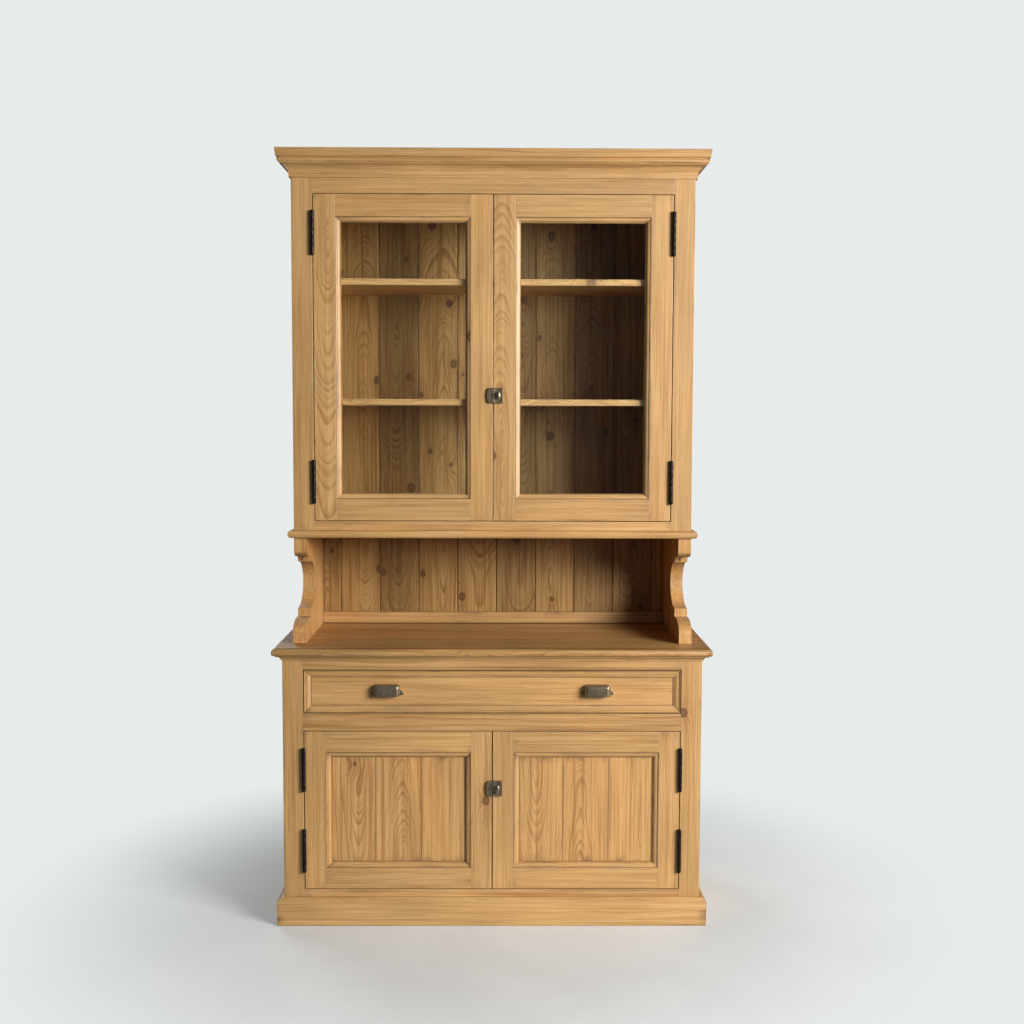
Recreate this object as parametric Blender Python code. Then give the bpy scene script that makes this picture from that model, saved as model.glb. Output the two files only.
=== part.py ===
# Pantry cabinet in pine: a base cupboard with one wide drawer, under a glazed hutch on scrolled sides.
# Metres, +Z up. The front faces -Y, X = 0 is the centre line, and the origin is on the floor under the middle.

import math

import bmesh
import bpy
from mathutils import Matrix, Vector

# Overall
DEPTH = 0.475
BASE_WIDTH = 1.164
HUTCH_WIDTH = 1.122
WORKTOP_OVERHANG = 0.026
HUTCH_SETBACK = 0.095
GAP = 0.0003
CUT_SPARE = 0.01  # how far a cutting box reaches past what it cuts

# Heights
PLINTH_TOP = 0.079
CUPBOARD_BOTTOM, CUPBOARD_TOP = 0.0995, 0.550
DRAWER_BOTTOM, DRAWER_TOP = 0.599, 0.722
MOULDING_BOTTOM = 0.748
WORKTOP_TOP, WORKTOP_THICK = 0.784, 0.020
LEDGE_BOTTOM, LEDGE_TOP = 1.080, 1.101
GLAZED_BOTTOM, GLAZED_TOP = 1.127, 2.038
CORNICE_BOTTOM, CORNICE_TOP = 2.080, 2.155
HUTCH_TOP = 2.150
SHELF_BOTTOMS = {"shelf_lower": 1.453, "shelf_upper": 1.789}

# Boards
FRAME_THICK = 0.022
BASE_SIDE_THICK = 0.022
HUTCH_SIDE_THICK = 0.036
SHELF_THICK = 0.018
BACK_THICK = 0.014
BACK_PANEL_THICK = 0.008
BOARD_PITCH, BOARD_JOINT_X = 0.120, 0.0085
GROOVE_HALF, GROOVE_DEPTH = 0.0018, 0.004
SKIRTING_HEIGHT, SKIRTING_THICK = 0.036, 0.015
SHELF_SETBACK, TOP_BOARD_THICK = 0.027, 0.020
FLOOR_THICK, FLOOR_STEP = 0.019, 0.0005  # the cupboard's bottom board, and how far it lies under the door opening
RUNNER_REACH, RUNNER_DROP, RUNNER_RISE = 0.025, 0.017, 0.0025

# Mouldings. A profile is a list of (projection, height) points.
PLINTH_PROJECTION, PLINTH_CHAMFER = 0.018, 0.010
NOSING = [(0, 0.004), (0.004, 0), (0.009, 0), (0.014, 0.0015), (0.018, 0.005), (WORKTOP_THICK, 0.010)]
COVE_PROJECTION, COVE_LIP, COVE_RADII = 0.017, 0.0005, (0.014, 0.012)
LEDGE_PROJECTION = 0.008
LIP_PROJECTION = 0.005
CORNICE_COVE, CORNICE_COVE_RISE, CORNICE_COVE_RADII = 0.028, 0.008, (0.023, 0.027)
BEAD_RISE, BEAD_RADIUS = 0.0435, 0.0055
FASCIA_RISE, FASCIA_BOTTOM, FASCIA_TOP = 0.052, 0.036, 0.039

# The scroll of the hutch's side boards, from the ledge down to the worktop
OVOLO_RADII, OVOLO_Z = (0.054, 0.020), 1.042
FILLET_BEHIND, UPPER_FILLET_Z = 0.065, 1.022
HOLLOW_RADII, HOLLOW_Z, HOLLOW_IN = (0.094, 0.067), 0.938, 0.005
LOWER_FILLET = (0.002, 0.871, 0.848)
FOOT_AHEAD, FOOT_RADII, FOOT_Z = 0.035, (0.068, 0.035), 0.813

# Doors and drawer
CUPBOARD_HALF = 0.525
GLAZED_HALF = 0.503
DOOR_GAP = 0.002
HINGE_GAP = 0.0024
MEETING_GAP = 0.003
STILE_GLAZED, MOULD_GLAZED = 0.061, 0.015
STILE_PANEL, MOULD_PANEL = 0.058, 0.017
INFILL_FRONT, GLASS_THICK, PANEL_THICK = 0.012, 0.004, 0.006
GROOVE = 0.006
STICK_DEPTH, QUIRK, STEP, OVOLO_SHARE = 0.0105, 0.002, 0.0008, 0.8
DRAWER_RIM, DRAWER_MOULD, DRAWER_FIELD = 0.003, 0.018, 0.009
# How far across its moulding, and how far down to the field, each corner of the drawer's moulding lies.
DRAWER_STEPS = ((0, 0), (0.06, 0.25), (0.3, 0.3), (0.6, 0.5), (0.85, 0.8), (0.92, 1), (1, 1))
DRAWER_SIDE_THICK, DRAWER_SIDE_HEIGHT, DRAWER_LENGTH = 0.012, 0.100, 0.370
DRAWER_PLAY, DRAWER_LIFT = 0.005, 0.003
DRAWER_BOTTOM_RISE, DRAWER_BOTTOM_THICK = 0.004, 0.006

# Hardware
HINGE_LENGTH, KNUCKLES = 0.120, 5
BARREL_RADIUS, PIN_RADIUS, PIN_PLAY = 0.0055, 0.0024, 0.0004
BARREL_STANDOFF = 0.0059
LEAF_THICK, LEAF_OFFSET, LEAF_DEPTH = 0.0007, 0.0002, 0.018
PLATE_START, TAB_START, TAB_OVERLAP, PIN_TIP = 0.0003, 0.001, 0.002, 0.002
ROD_SIDES, FINE_ROD_SIDES = 16, 12
GLAZED_HINGES = (1.238, 1.929)
CUPBOARD_HINGES = (0.2105, 0.4407)
LATCH_Z = {"upper": 1.481, "lower": 0.389}
CASE_WIDTH, LATCH_HEIGHT, CASE_THICK = 0.0275, 0.043, 0.008
KEEPER_WIDTH, KEEPER_FLAT, KEEPER_SETBACK = 0.0165, 0.009, 0.001
KNOB_X, KNOB_STANDOFF = 0.0155, 0.0085
KNOB_RADII = (0.0055, 0.0045, 0.0125)
SPINDLE_RADIUS = 0.003
CASE_CHAMFER, CASE_WALL = 0.003, 0.001
TONGUE_LENGTH, TONGUE_HALF, TONGUE_THICK, TONGUE_PLAY = 0.0198, 0.0035, 0.0032, 0.0004
TONGUE_BACK = 0.0015
CASE_SLOT_RISE, KEEPER_SLOT_RISE = 0.0150, 0.0130
PULL_X, PULL_Z = 0.292, 0.665
PULL_WIDTH, PULL_EARS, PULL_HEIGHT, PULL_REACH = 0.072, 0.093, 0.032, 0.024
PULL_WALL = 0.0016
# Where along half its width each section of the cup stands, and how large it is there.
CUP_STATIONS = [(-1, 0.55), (-0.9, 0.82), (-0.72, 1), (0.72, 1), (0.9, 0.82), (1, 0.55)]
CUP_DROP, HOLLOW_DROP, HOLLOW_BACK = -0.001, -0.01, 0.004
EAR_FOOT, EAR_ROOT, EAR_SHOULDER, EAR_TIP = -0.0008, 0.0165, 0.008, 0.004
EAR_SHOULDER_IN, EAR_HEEL_IN, EAR_LAP, EAR_BACK = 0.003, 0.004, 0.001, -0.0002

# Worked out
BACK_Y = DEPTH / 2
NOSE_Y = -DEPTH / 2
BASE_Y = NOSE_Y + WORKTOP_OVERHANG
HUTCH_Y = BASE_Y + HUTCH_SETBACK
BASE_HALF = BASE_WIDTH / 2
HUTCH_HALF = HUTCH_WIDTH / 2
WORKTOP_HALF = BASE_HALF + WORKTOP_OVERHANG
WORKTOP_BOTTOM = WORKTOP_TOP - WORKTOP_THICK
BOARDS_Y = BACK_Y - BACK_THICK
HUTCH_INNER = HUTCH_HALF - HUTCH_SIDE_THICK
BASE_INNER = BASE_HALF - BASE_SIDE_THICK

# Colour, roughness, metallic, transmission
FINISHES = {
    "pine": ((0.58, 0.37, 0.16), 0.45, 0.0, 0.0),
    "pine_back": ((0.36, 0.19, 0.06), 0.55, 0.0, 0.0),
    "pine_inside": ((0.48, 0.33, 0.18), 0.65, 0.0, 0.0),
    "glass": ((0.92, 0.95, 0.94), 0.03, 0.0, 1.0),
    "iron": ((0.03, 0.028, 0.026), 0.45, 0.9, 0.0),
    "bronze": ((0.16, 0.12, 0.07), 0.32, 1.0, 0.0),
}
materials = {}


def clear_scene():
    for obj in list(bpy.data.objects):
        bpy.data.objects.remove(obj, do_unlink=True)


def make_materials():
    for name, (colour, roughness, metallic, transmission) in FINISHES.items():
        material = bpy.data.materials.new(name)
        material.use_nodes = True
        shader = material.node_tree.nodes["Principled BSDF"]
        shader.inputs["Base Color"].default_value = (*colour, 1)
        shader.inputs["Roughness"].default_value = roughness
        shader.inputs["Metallic"].default_value = metallic
        shader.inputs["Transmission Weight"].default_value = transmission
        materials[name] = material


def make_pivot(name, place):
    pivot = bpy.data.objects.new(name, None)
    pivot.location = place
    bpy.context.collection.objects.link(pivot)
    return pivot


# Each object keeps its own copy of the finish, so that one part can be recoloured alone.
def add_object(name, mesh, finish, pivot=None):
    own = materials[finish].copy()
    own.name = name + "_finish"
    if mesh.users:
        mesh = mesh.copy()
    mesh.materials.clear()
    mesh.materials.append(own)
    obj = bpy.data.objects.new(name, mesh)
    bpy.context.collection.objects.link(obj)
    if pivot:
        obj.parent = pivot
        obj.matrix_parent_inverse = Matrix.Translation(-pivot.location)
    return obj


def mesh_of(name, bm):
    bmesh.ops.recalc_face_normals(bm, faces=bm.faces)
    mesh = bpy.data.meshes.new(name)
    bm.to_mesh(mesh)
    bm.free()
    return mesh


def box_mesh(name, size):
    bm = bmesh.new()
    bmesh.ops.create_cube(bm, size=1)
    bmesh.ops.scale(bm, vec=size, verts=bm.verts)
    return mesh_of(name, bm)


# A straight board between two opposite corners, placed by its centre.
def board(name, low, high, finish, pivot=None):
    low, high = Vector(low), Vector(high)
    obj = add_object(name, box_mesh(name, high - low), finish, pivot)
    obj.location = (low + high) / 2
    return obj


# Skins a run of equal loops. The two ends are capped, or joined to each other when the run is closed.
def loft_mesh(name, loops, closed=False):
    bm = bmesh.new()
    rings = [[bm.verts.new(point) for point in loop] for loop in loops]
    pairs = list(zip(rings, rings[1:]))
    if closed:
        pairs.append((rings[-1], rings[0]))
    else:
        bm.faces.new(rings[0])
        bm.faces.new(rings[-1])
    for ring, after in pairs:
        for i, corner in enumerate(ring):
            j = (i + 1) % len(ring)
            bm.faces.new((corner, ring[j], after[j], after[i]))
    return mesh_of(name, bm)


# Points of an elliptical arc, in degrees from the first axis.
def arc(centre, radii, start, end, steps):
    angles = [math.radians(start + (end - start) * i / steps) for i in range(steps + 1)]
    return [(centre[0] + radii[0] * math.cos(a), centre[1] + radii[1] * math.sin(a)) for a in angles]


# A rectangle (left, bottom, right, top) grown by some width and stood at one depth.
def rectangle(edges, grow, y):
    left, bottom, right, top = edges
    return [
        (left - grow, y, bottom - grow),
        (right + grow, y, bottom - grow),
        (right + grow, y, top + grow),
        (left - grow, y, top + grow),
    ]


# A moulding mitred round the left side, the front and the right side. The profile is (projection, height) points.
def wrapped_moulding(name, half_width, front_y, back_y, profile, finish):
    loops = [
        [(-half_width - p, back_y, z) for p, z in profile],
        [(-half_width - p, front_y - p, z) for p, z in profile],
        [(half_width + p, front_y - p, z) for p, z in profile],
        [(half_width + p, back_y, z) for p, z in profile],
    ]
    return add_object(name, loft_mesh(name, loops), finish)


# Joins to, or cuts from, one object with hidden helpers.
def combine(obj, helpers, operation):
    for helper in helpers:
        helper.hide_render = True
        helper.display_type = "WIRE"
        change = obj.modifiers.new(helper.name, "BOOLEAN")
        change.operation = operation
        change.solver = "EXACT"
        change.object = helper
    return obj


def helper_box(name, low, high):
    return board(name, low, high, "iron")


# A cylinder between two points.
def helper_rod(name, start, end, radius, sides=ROD_SIDES):
    start, end = Vector(start), Vector(end)
    bm = bmesh.new()
    bmesh.ops.create_cone(
        bm, cap_ends=True, segments=sides, radius1=radius, radius2=radius, depth=(end - start).length
    )
    turn = (end - start).to_track_quat("Z", "Y").to_matrix().to_4x4()
    bmesh.ops.transform(bm, matrix=turn, verts=bm.verts)
    obj = add_object(name, mesh_of(name, bm), "iron")
    obj.location = (start + end) / 2
    return obj


# The mesh of an object with its modifiers applied and its place built in, for pieces that repeat.
def finished_mesh(obj):
    bpy.context.view_layer.update()
    graph = bpy.context.evaluated_depsgraph_get()
    mesh = bpy.data.meshes.new_from_object(obj.evaluated_get(graph))
    mesh.transform(obj.matrix_world)
    return mesh


def remove_objects(objects):
    for obj in objects:
        bpy.data.objects.remove(obj, do_unlink=True)


def make_base():
    inside_front = BASE_Y + FRAME_THICK + GAP
    for side, sign in (("left", -1), ("right", 1)):
        xs = sorted((sign * BASE_HALF, sign * BASE_INNER))
        board(
            "base_side_" + side,
            (xs[0], inside_front, 0),
            (xs[1], BACK_Y, WORKTOP_BOTTOM - GAP),
            "pine",
        )
        xs = sorted((sign * (BASE_INNER - GAP), sign * (CUPBOARD_HALF - RUNNER_REACH)))
        board(
            "drawer_runner_" + side,
            (xs[0], inside_front, DRAWER_BOTTOM - RUNNER_DROP),
            (xs[1], BACK_Y - BACK_PANEL_THICK - GAP, DRAWER_BOTTOM + RUNNER_RISE),
            "pine_inside",
        )
    inner = BASE_INNER - GAP
    floor = CUPBOARD_BOTTOM - FLOOR_STEP
    board(
        "base_bottom",
        (-inner, inside_front, floor - FLOOR_THICK),
        (inner, BACK_Y - BACK_PANEL_THICK - GAP, floor),
        "pine_inside",
    )
    board(
        "base_back",
        (-inner, BACK_Y - BACK_PANEL_THICK, floor - FLOOR_THICK),
        (inner, BACK_Y, WORKTOP_BOTTOM - GAP),
        "pine_inside",
    )
    frame = board(
        "base_face_frame",
        (-BASE_HALF, BASE_Y, 0),
        (BASE_HALF, BASE_Y + FRAME_THICK, WORKTOP_BOTTOM - GAP),
        "pine",
    )
    openings = [
        helper_box(
            "cut_" + name, (-CUPBOARD_HALF, BASE_Y - CUT_SPARE, low), (CUPBOARD_HALF, inside_front + CUT_SPARE, high)
        )
        for name, low, high in (
            ("cupboard", CUPBOARD_BOTTOM, CUPBOARD_TOP),
            ("drawer", DRAWER_BOTTOM, DRAWER_TOP),
        )
    ]
    combine(frame, openings, "DIFFERENCE")


def make_plinth():
    profile = [
        (GAP, 0),
        (PLINTH_PROJECTION, 0),
        (PLINTH_PROJECTION, PLINTH_TOP - PLINTH_CHAMFER),
        (PLINTH_PROJECTION - PLINTH_CHAMFER, PLINTH_TOP),
        (GAP, PLINTH_TOP),
    ]
    wrapped_moulding("plinth", BASE_HALF, BASE_Y, BACK_Y, profile, "pine")


# Each loop of the nosing has a height above the underside, and an inset.
def make_worktop():
    loops = [
        [
            (-WORKTOP_HALF + inset, NOSE_Y + inset, WORKTOP_BOTTOM + height),
            (WORKTOP_HALF - inset, NOSE_Y + inset, WORKTOP_BOTTOM + height),
            (WORKTOP_HALF - inset, BACK_Y, WORKTOP_BOTTOM + height),
            (-WORKTOP_HALF + inset, BACK_Y, WORKTOP_BOTTOM + height),
        ]
        for height, inset in NOSING
    ]
    add_object("worktop", loft_mesh("worktop", loops), "pine")
    top = WORKTOP_BOTTOM - GAP
    cove = arc((COVE_PROJECTION, MOULDING_BOTTOM + COVE_LIP), COVE_RADII, 180, 90, 4)
    profile = [(GAP, MOULDING_BOTTOM), *cove, (COVE_PROJECTION, top), (GAP, top)]
    wrapped_moulding("worktop_moulding", BASE_HALF, BASE_Y, BACK_Y, profile, "pine")


# The side board seen from the side, as (distance behind the base face, height) points. Below the ledge its front edge
# is a scroll: an ovolo, a fillet, a deep C, a second fillet and a rounded foot.
def scroll_outline():
    front = HUTCH_SETBACK
    fillet = front + FILLET_BEHIND
    foot = front - FOOT_AHEAD
    step, step_top, step_bottom = LOWER_FILLET
    lower = WORKTOP_TOP + GAP
    back = BACK_Y - BASE_Y
    return [
        (back, lower),
        (back, HUTCH_TOP),
        (front + FRAME_THICK + GAP, HUTCH_TOP),
        (front + FRAME_THICK + GAP, LEDGE_TOP),
        (front, LEDGE_TOP),
        *arc((front + OVOLO_RADII[0], OVOLO_Z), OVOLO_RADII, 180, 270, 6),
        (fillet, UPPER_FILLET_Z),
        *arc((fillet + HOLLOW_IN, HOLLOW_Z), HOLLOW_RADII, 90, -90, 14),
        (fillet - step, step_top),
        (fillet - step, step_bottom),
        *arc((foot + FOOT_RADII[0], FOOT_Z), FOOT_RADII, 90, 180, 6),
        (foot, lower),
    ]


def make_hutch():
    for side, sign in (("left", -1), ("right", 1)):
        loops = [
            [(sign * x, BASE_Y + y, z) for y, z in scroll_outline()]
            for x in (HUTCH_HALF, HUTCH_INNER)
        ]
        name = "hutch_side_" + side
        add_object(name, loft_mesh(name, loops), "pine")
    inner = HUTCH_INNER - GAP
    boards_front = BOARDS_Y - GAP
    behind_frame = HUTCH_Y + FRAME_THICK + GAP
    board("hutch_bottom", (-inner, HUTCH_Y, LEDGE_BOTTOM), (inner, boards_front, LEDGE_TOP - GAP), "pine")
    under_top = HUTCH_TOP - TOP_BOARD_THICK
    board("hutch_top", (-inner, behind_frame, under_top), (inner, boards_front, HUTCH_TOP), "pine_inside")
    shelf_front = HUTCH_Y + SHELF_SETBACK
    for name, bottom in SHELF_BOTTOMS.items():
        board(name, (-inner, shelf_front, bottom), (inner, boards_front, bottom + SHELF_THICK), "pine_back")
    frame = board(
        "hutch_face_frame",
        (-HUTCH_HALF, HUTCH_Y, LEDGE_TOP + GAP),
        (HUTCH_HALF, HUTCH_Y + FRAME_THICK, HUTCH_TOP),
        "pine",
    )
    opening = helper_box(
        "cut_glazed",
        (-GLAZED_HALF, HUTCH_Y - CUT_SPARE, GLAZED_BOTTOM),
        (GLAZED_HALF, behind_frame + CUT_SPARE, GLAZED_TOP),
    )
    combine(frame, [opening], "DIFFERENCE")
    board(
        "back_skirting",
        (-inner, boards_front - SKIRTING_THICK, WORKTOP_TOP + GAP),
        (inner, boards_front, WORKTOP_TOP + SKIRTING_HEIGHT),
        "pine",
    )


# Vertical boards with a V groove at every joint, seen from above and drawn out to their height.
def make_back_boards():
    inner = HUTCH_INNER - GAP
    first = math.ceil((-inner - BOARD_JOINT_X) / BOARD_PITCH)
    last = math.floor((inner - BOARD_JOINT_X) / BOARD_PITCH)
    plan = [(inner, BACK_Y), (-inner, BACK_Y), (-inner, BOARDS_Y)]
    for i in range(first, last + 1):
        joint = BOARD_JOINT_X + i * BOARD_PITCH
        plan += [
            (joint - GROOVE_HALF, BOARDS_Y),
            (joint, BOARDS_Y + GROOVE_DEPTH),
            (joint + GROOVE_HALF, BOARDS_Y),
        ]
    plan.append((inner, BOARDS_Y))
    loops = [[(x, y, z) for x, y in plan] for z in (WORKTOP_TOP + GAP, HUTCH_TOP)]
    add_object("hutch_back_boards", loft_mesh("hutch_back_boards", loops), "pine_back")


def make_ledge_and_cornice():
    middle = (LEDGE_BOTTOM + LEDGE_TOP) / 2
    half = (LEDGE_TOP - LEDGE_BOTTOM) / 2
    nose = arc((LEDGE_PROJECTION, middle), (LEDGE_PROJECTION, half), -90, 90, 6)
    profile = [(GAP, LEDGE_BOTTOM), *nose, (GAP, LEDGE_TOP)]
    wrapped_moulding("hutch_ledge", HUTCH_HALF, HUTCH_Y, BACK_Y, profile, "pine")

    # From the bottom up: a small lip, a cove, a bead between two fillets, and a fascia that leans out.
    cove = arc((CORNICE_COVE, CORNICE_BOTTOM + CORNICE_COVE_RISE), CORNICE_COVE_RADII, 180, 95, 5)
    bead = arc((CORNICE_COVE, CORNICE_BOTTOM + BEAD_RISE), (BEAD_RADIUS, BEAD_RADIUS), -90, 90, 5)
    profile = [
        (GAP, CORNICE_BOTTOM),
        (LIP_PROJECTION, CORNICE_BOTTOM),
        *cove,
        *bead,
        (CORNICE_COVE, CORNICE_BOTTOM + FASCIA_RISE),
        (FASCIA_BOTTOM, CORNICE_BOTTOM + FASCIA_RISE),
        (FASCIA_TOP, CORNICE_TOP),
        (GAP, CORNICE_TOP),
    ]
    wrapped_moulding("cornice", HUTCH_HALF, HUTCH_Y, BACK_Y, profile, "pine")


# A door frame with its sticking mitred at the corners, and a groove that holds the glass or the panel captive.
def moulded_frame(name, outer, stile, moulding, face_y, infill_thick, pivot):
    left, bottom, right, top = outer
    edge = stile + moulding
    sight = (left + edge, bottom + edge, right - edge, top - edge)
    groove_front = INFILL_FRONT - GAP
    groove_back = INFILL_FRONT + infill_thick + GAP
    ovolo_radii = (OVOLO_SHARE * moulding, STICK_DEPTH - QUIRK)
    ovolo = arc((moulding - STEP, STICK_DEPTH), ovolo_radii, -90, -180, 5)
    profile = [(moulding, 0), *ovolo, (0, STICK_DEPTH)]
    loops = [rectangle(outer, 0, face_y)]
    loops += [rectangle(sight, grow, face_y + depth) for grow, depth in profile]
    loops += [
        rectangle(sight, 0, face_y + groove_front),
        rectangle(sight, GROOVE, face_y + groove_front),
        rectangle(sight, GROOVE, face_y + groove_back),
        rectangle(sight, 0, face_y + groove_back),
        rectangle(sight, 0, face_y + FRAME_THICK),
        rectangle(outer, 0, face_y + FRAME_THICK),
    ]
    add_object(name, loft_mesh(name, loops, closed=True), "pine", pivot)
    return sight


def make_door(row, side, pivot):
    sign = -1 if side == "left" else 1
    glazed = row == "upper"
    half = GLAZED_HALF if glazed else CUPBOARD_HALF
    low, high = (GLAZED_BOTTOM, GLAZED_TOP) if glazed else (CUPBOARD_BOTTOM, CUPBOARD_TOP)
    face_y = HUTCH_Y if glazed else BASE_Y
    xs = sorted((sign * MEETING_GAP / 2, sign * (half - HINGE_GAP)))
    outer = (xs[0], low + DOOR_GAP, xs[1], high - DOOR_GAP)
    stile, moulding = (STILE_GLAZED, MOULD_GLAZED) if glazed else (STILE_PANEL, MOULD_PANEL)
    thick = GLASS_THICK if glazed else PANEL_THICK
    name = row + "_" + side
    sight = moulded_frame(name + "_door_frame", outer, stile, moulding, face_y, thick, pivot)
    grow = GROOVE - GAP
    board(
        name + ("_glass" if glazed else "_panel"),
        (sight[0] - grow, face_y + INFILL_FRONT, sight[1] - grow),
        (sight[2] + grow, face_y + INFILL_FRONT + thick, sight[3] + grow),
        "glass" if glazed else "pine",
        pivot,
    )


def make_drawer(pivot):
    front = (-CUPBOARD_HALF + DOOR_GAP, DRAWER_BOTTOM + DOOR_GAP, CUPBOARD_HALF - DOOR_GAP, DRAWER_TOP - DOOR_GAP)
    hollow = [
        (DRAWER_RIM + DRAWER_MOULD * share, DRAWER_FIELD * depth)
        for share, depth in DRAWER_STEPS
    ]
    loops = [rectangle(front, 0, BASE_Y + FRAME_THICK), rectangle(front, 0, BASE_Y)]
    loops += [rectangle(front, -inset, BASE_Y + depth) for inset, depth in hollow]
    add_object("drawer_front", loft_mesh("drawer_front", loops), "pine", pivot)

    near = BASE_Y + FRAME_THICK + GAP
    far = near + DRAWER_LENGTH
    low = DRAWER_BOTTOM + DRAWER_LIFT
    high = low + DRAWER_SIDE_HEIGHT
    outer = CUPBOARD_HALF - DRAWER_PLAY
    inner = outer - DRAWER_SIDE_THICK
    for side, sign in (("left", -1), ("right", 1)):
        xs = sorted((sign * outer, sign * inner))
        board("drawer_side_" + side, (xs[0], near, low), (xs[1], far, high), "pine_inside", pivot)
    within = inner - GAP
    underside = low + DRAWER_BOTTOM_RISE
    board("drawer_back", (-within, far - DRAWER_SIDE_THICK, low), (within, far, high), "pine_inside", pivot)
    board(
        "drawer_bottom",
        (-within, near, underside),
        (within, far - DRAWER_SIDE_THICK - GAP, underside + DRAWER_BOTTOM_THICK),
        "pine_inside",
        pivot,
    )


# One knuckle with the tab that joins it to its leaf. The barrel's axis is the object's Z axis, and the leaf stands in
# the gap behind it.
def knuckle(name, low, high, leaf_x):
    barrel = helper_rod(name + "_barrel", (0, 0, low), (0, 0, high), BARREL_RADIUS)
    tab = helper_box(
        name + "_tab",
        (leaf_x[0], TAB_START, low),
        (leaf_x[1], BARREL_STANDOFF + TAB_OVERLAP, high),
    )
    return [barrel, tab]


# The two leaves of a butt hinge for a left-hand door. Turned half a turn about Y, they fit a right-hand door.
def hinge_meshes():
    half = HINGE_LENGTH / 2
    pitch = HINGE_LENGTH / KNUCKLES
    plate_y = (BARREL_STANDOFF + PLATE_START, BARREL_STANDOFF + LEAF_DEPTH)
    made = {}
    for kind, sign, knuckles in (("frame", -1, range(0, KNUCKLES, 2)), ("door", 1, range(1, KNUCKLES, 2))):
        leaf_x = sorted((sign * LEAF_OFFSET, sign * (LEAF_OFFSET + LEAF_THICK)))
        leaf = helper_box("leaf_" + kind, (leaf_x[0], plate_y[0], -half), (leaf_x[1], plate_y[1], half))
        added = []
        for i in knuckles:
            low = -half + i * pitch + GAP
            added += knuckle(f"{kind}_{i}", low, low + pitch - 2 * GAP, leaf_x)
        combine(leaf, added, "UNION")
        reach = half + (PIN_TIP if kind == "frame" else CUT_SPARE)
        radius = PIN_RADIUS if kind == "frame" else PIN_RADIUS + PIN_PLAY
        pin = helper_rod("pin_" + kind, (0, 0, -reach), (0, 0, reach), radius, FINE_ROD_SIDES)
        combine(leaf, [pin], "UNION" if kind == "frame" else "DIFFERENCE")
        made[kind] = finished_mesh(leaf)
        remove_objects([leaf, pin, *added])
    return made


def hinge_axis(row, side):
    half = GLAZED_HALF if row == "upper" else CUPBOARD_HALF
    face_y = HUTCH_Y if row == "upper" else BASE_Y
    sign = -1 if side == "left" else 1
    return Vector((sign * (half - HINGE_GAP / 2), face_y - BARREL_STANDOFF, 0))


def make_hinges(row, side, pivot, meshes):
    heights = GLAZED_HINGES if row == "upper" else CUPBOARD_HINGES
    for level, height in zip(("bottom", "top"), heights):
        for kind in ("frame", "door"):
            name = f"{row}_{side}_{level}_hinge_{kind}_leaf"
            obj = add_object(name, meshes[kind].copy(), "iron", pivot if kind == "door" else None)
            obj.location = hinge_axis(row, side) + Vector((0, 0, height))
            if side == "right":
                obj.rotation_euler = (0, math.pi, 0)


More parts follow.
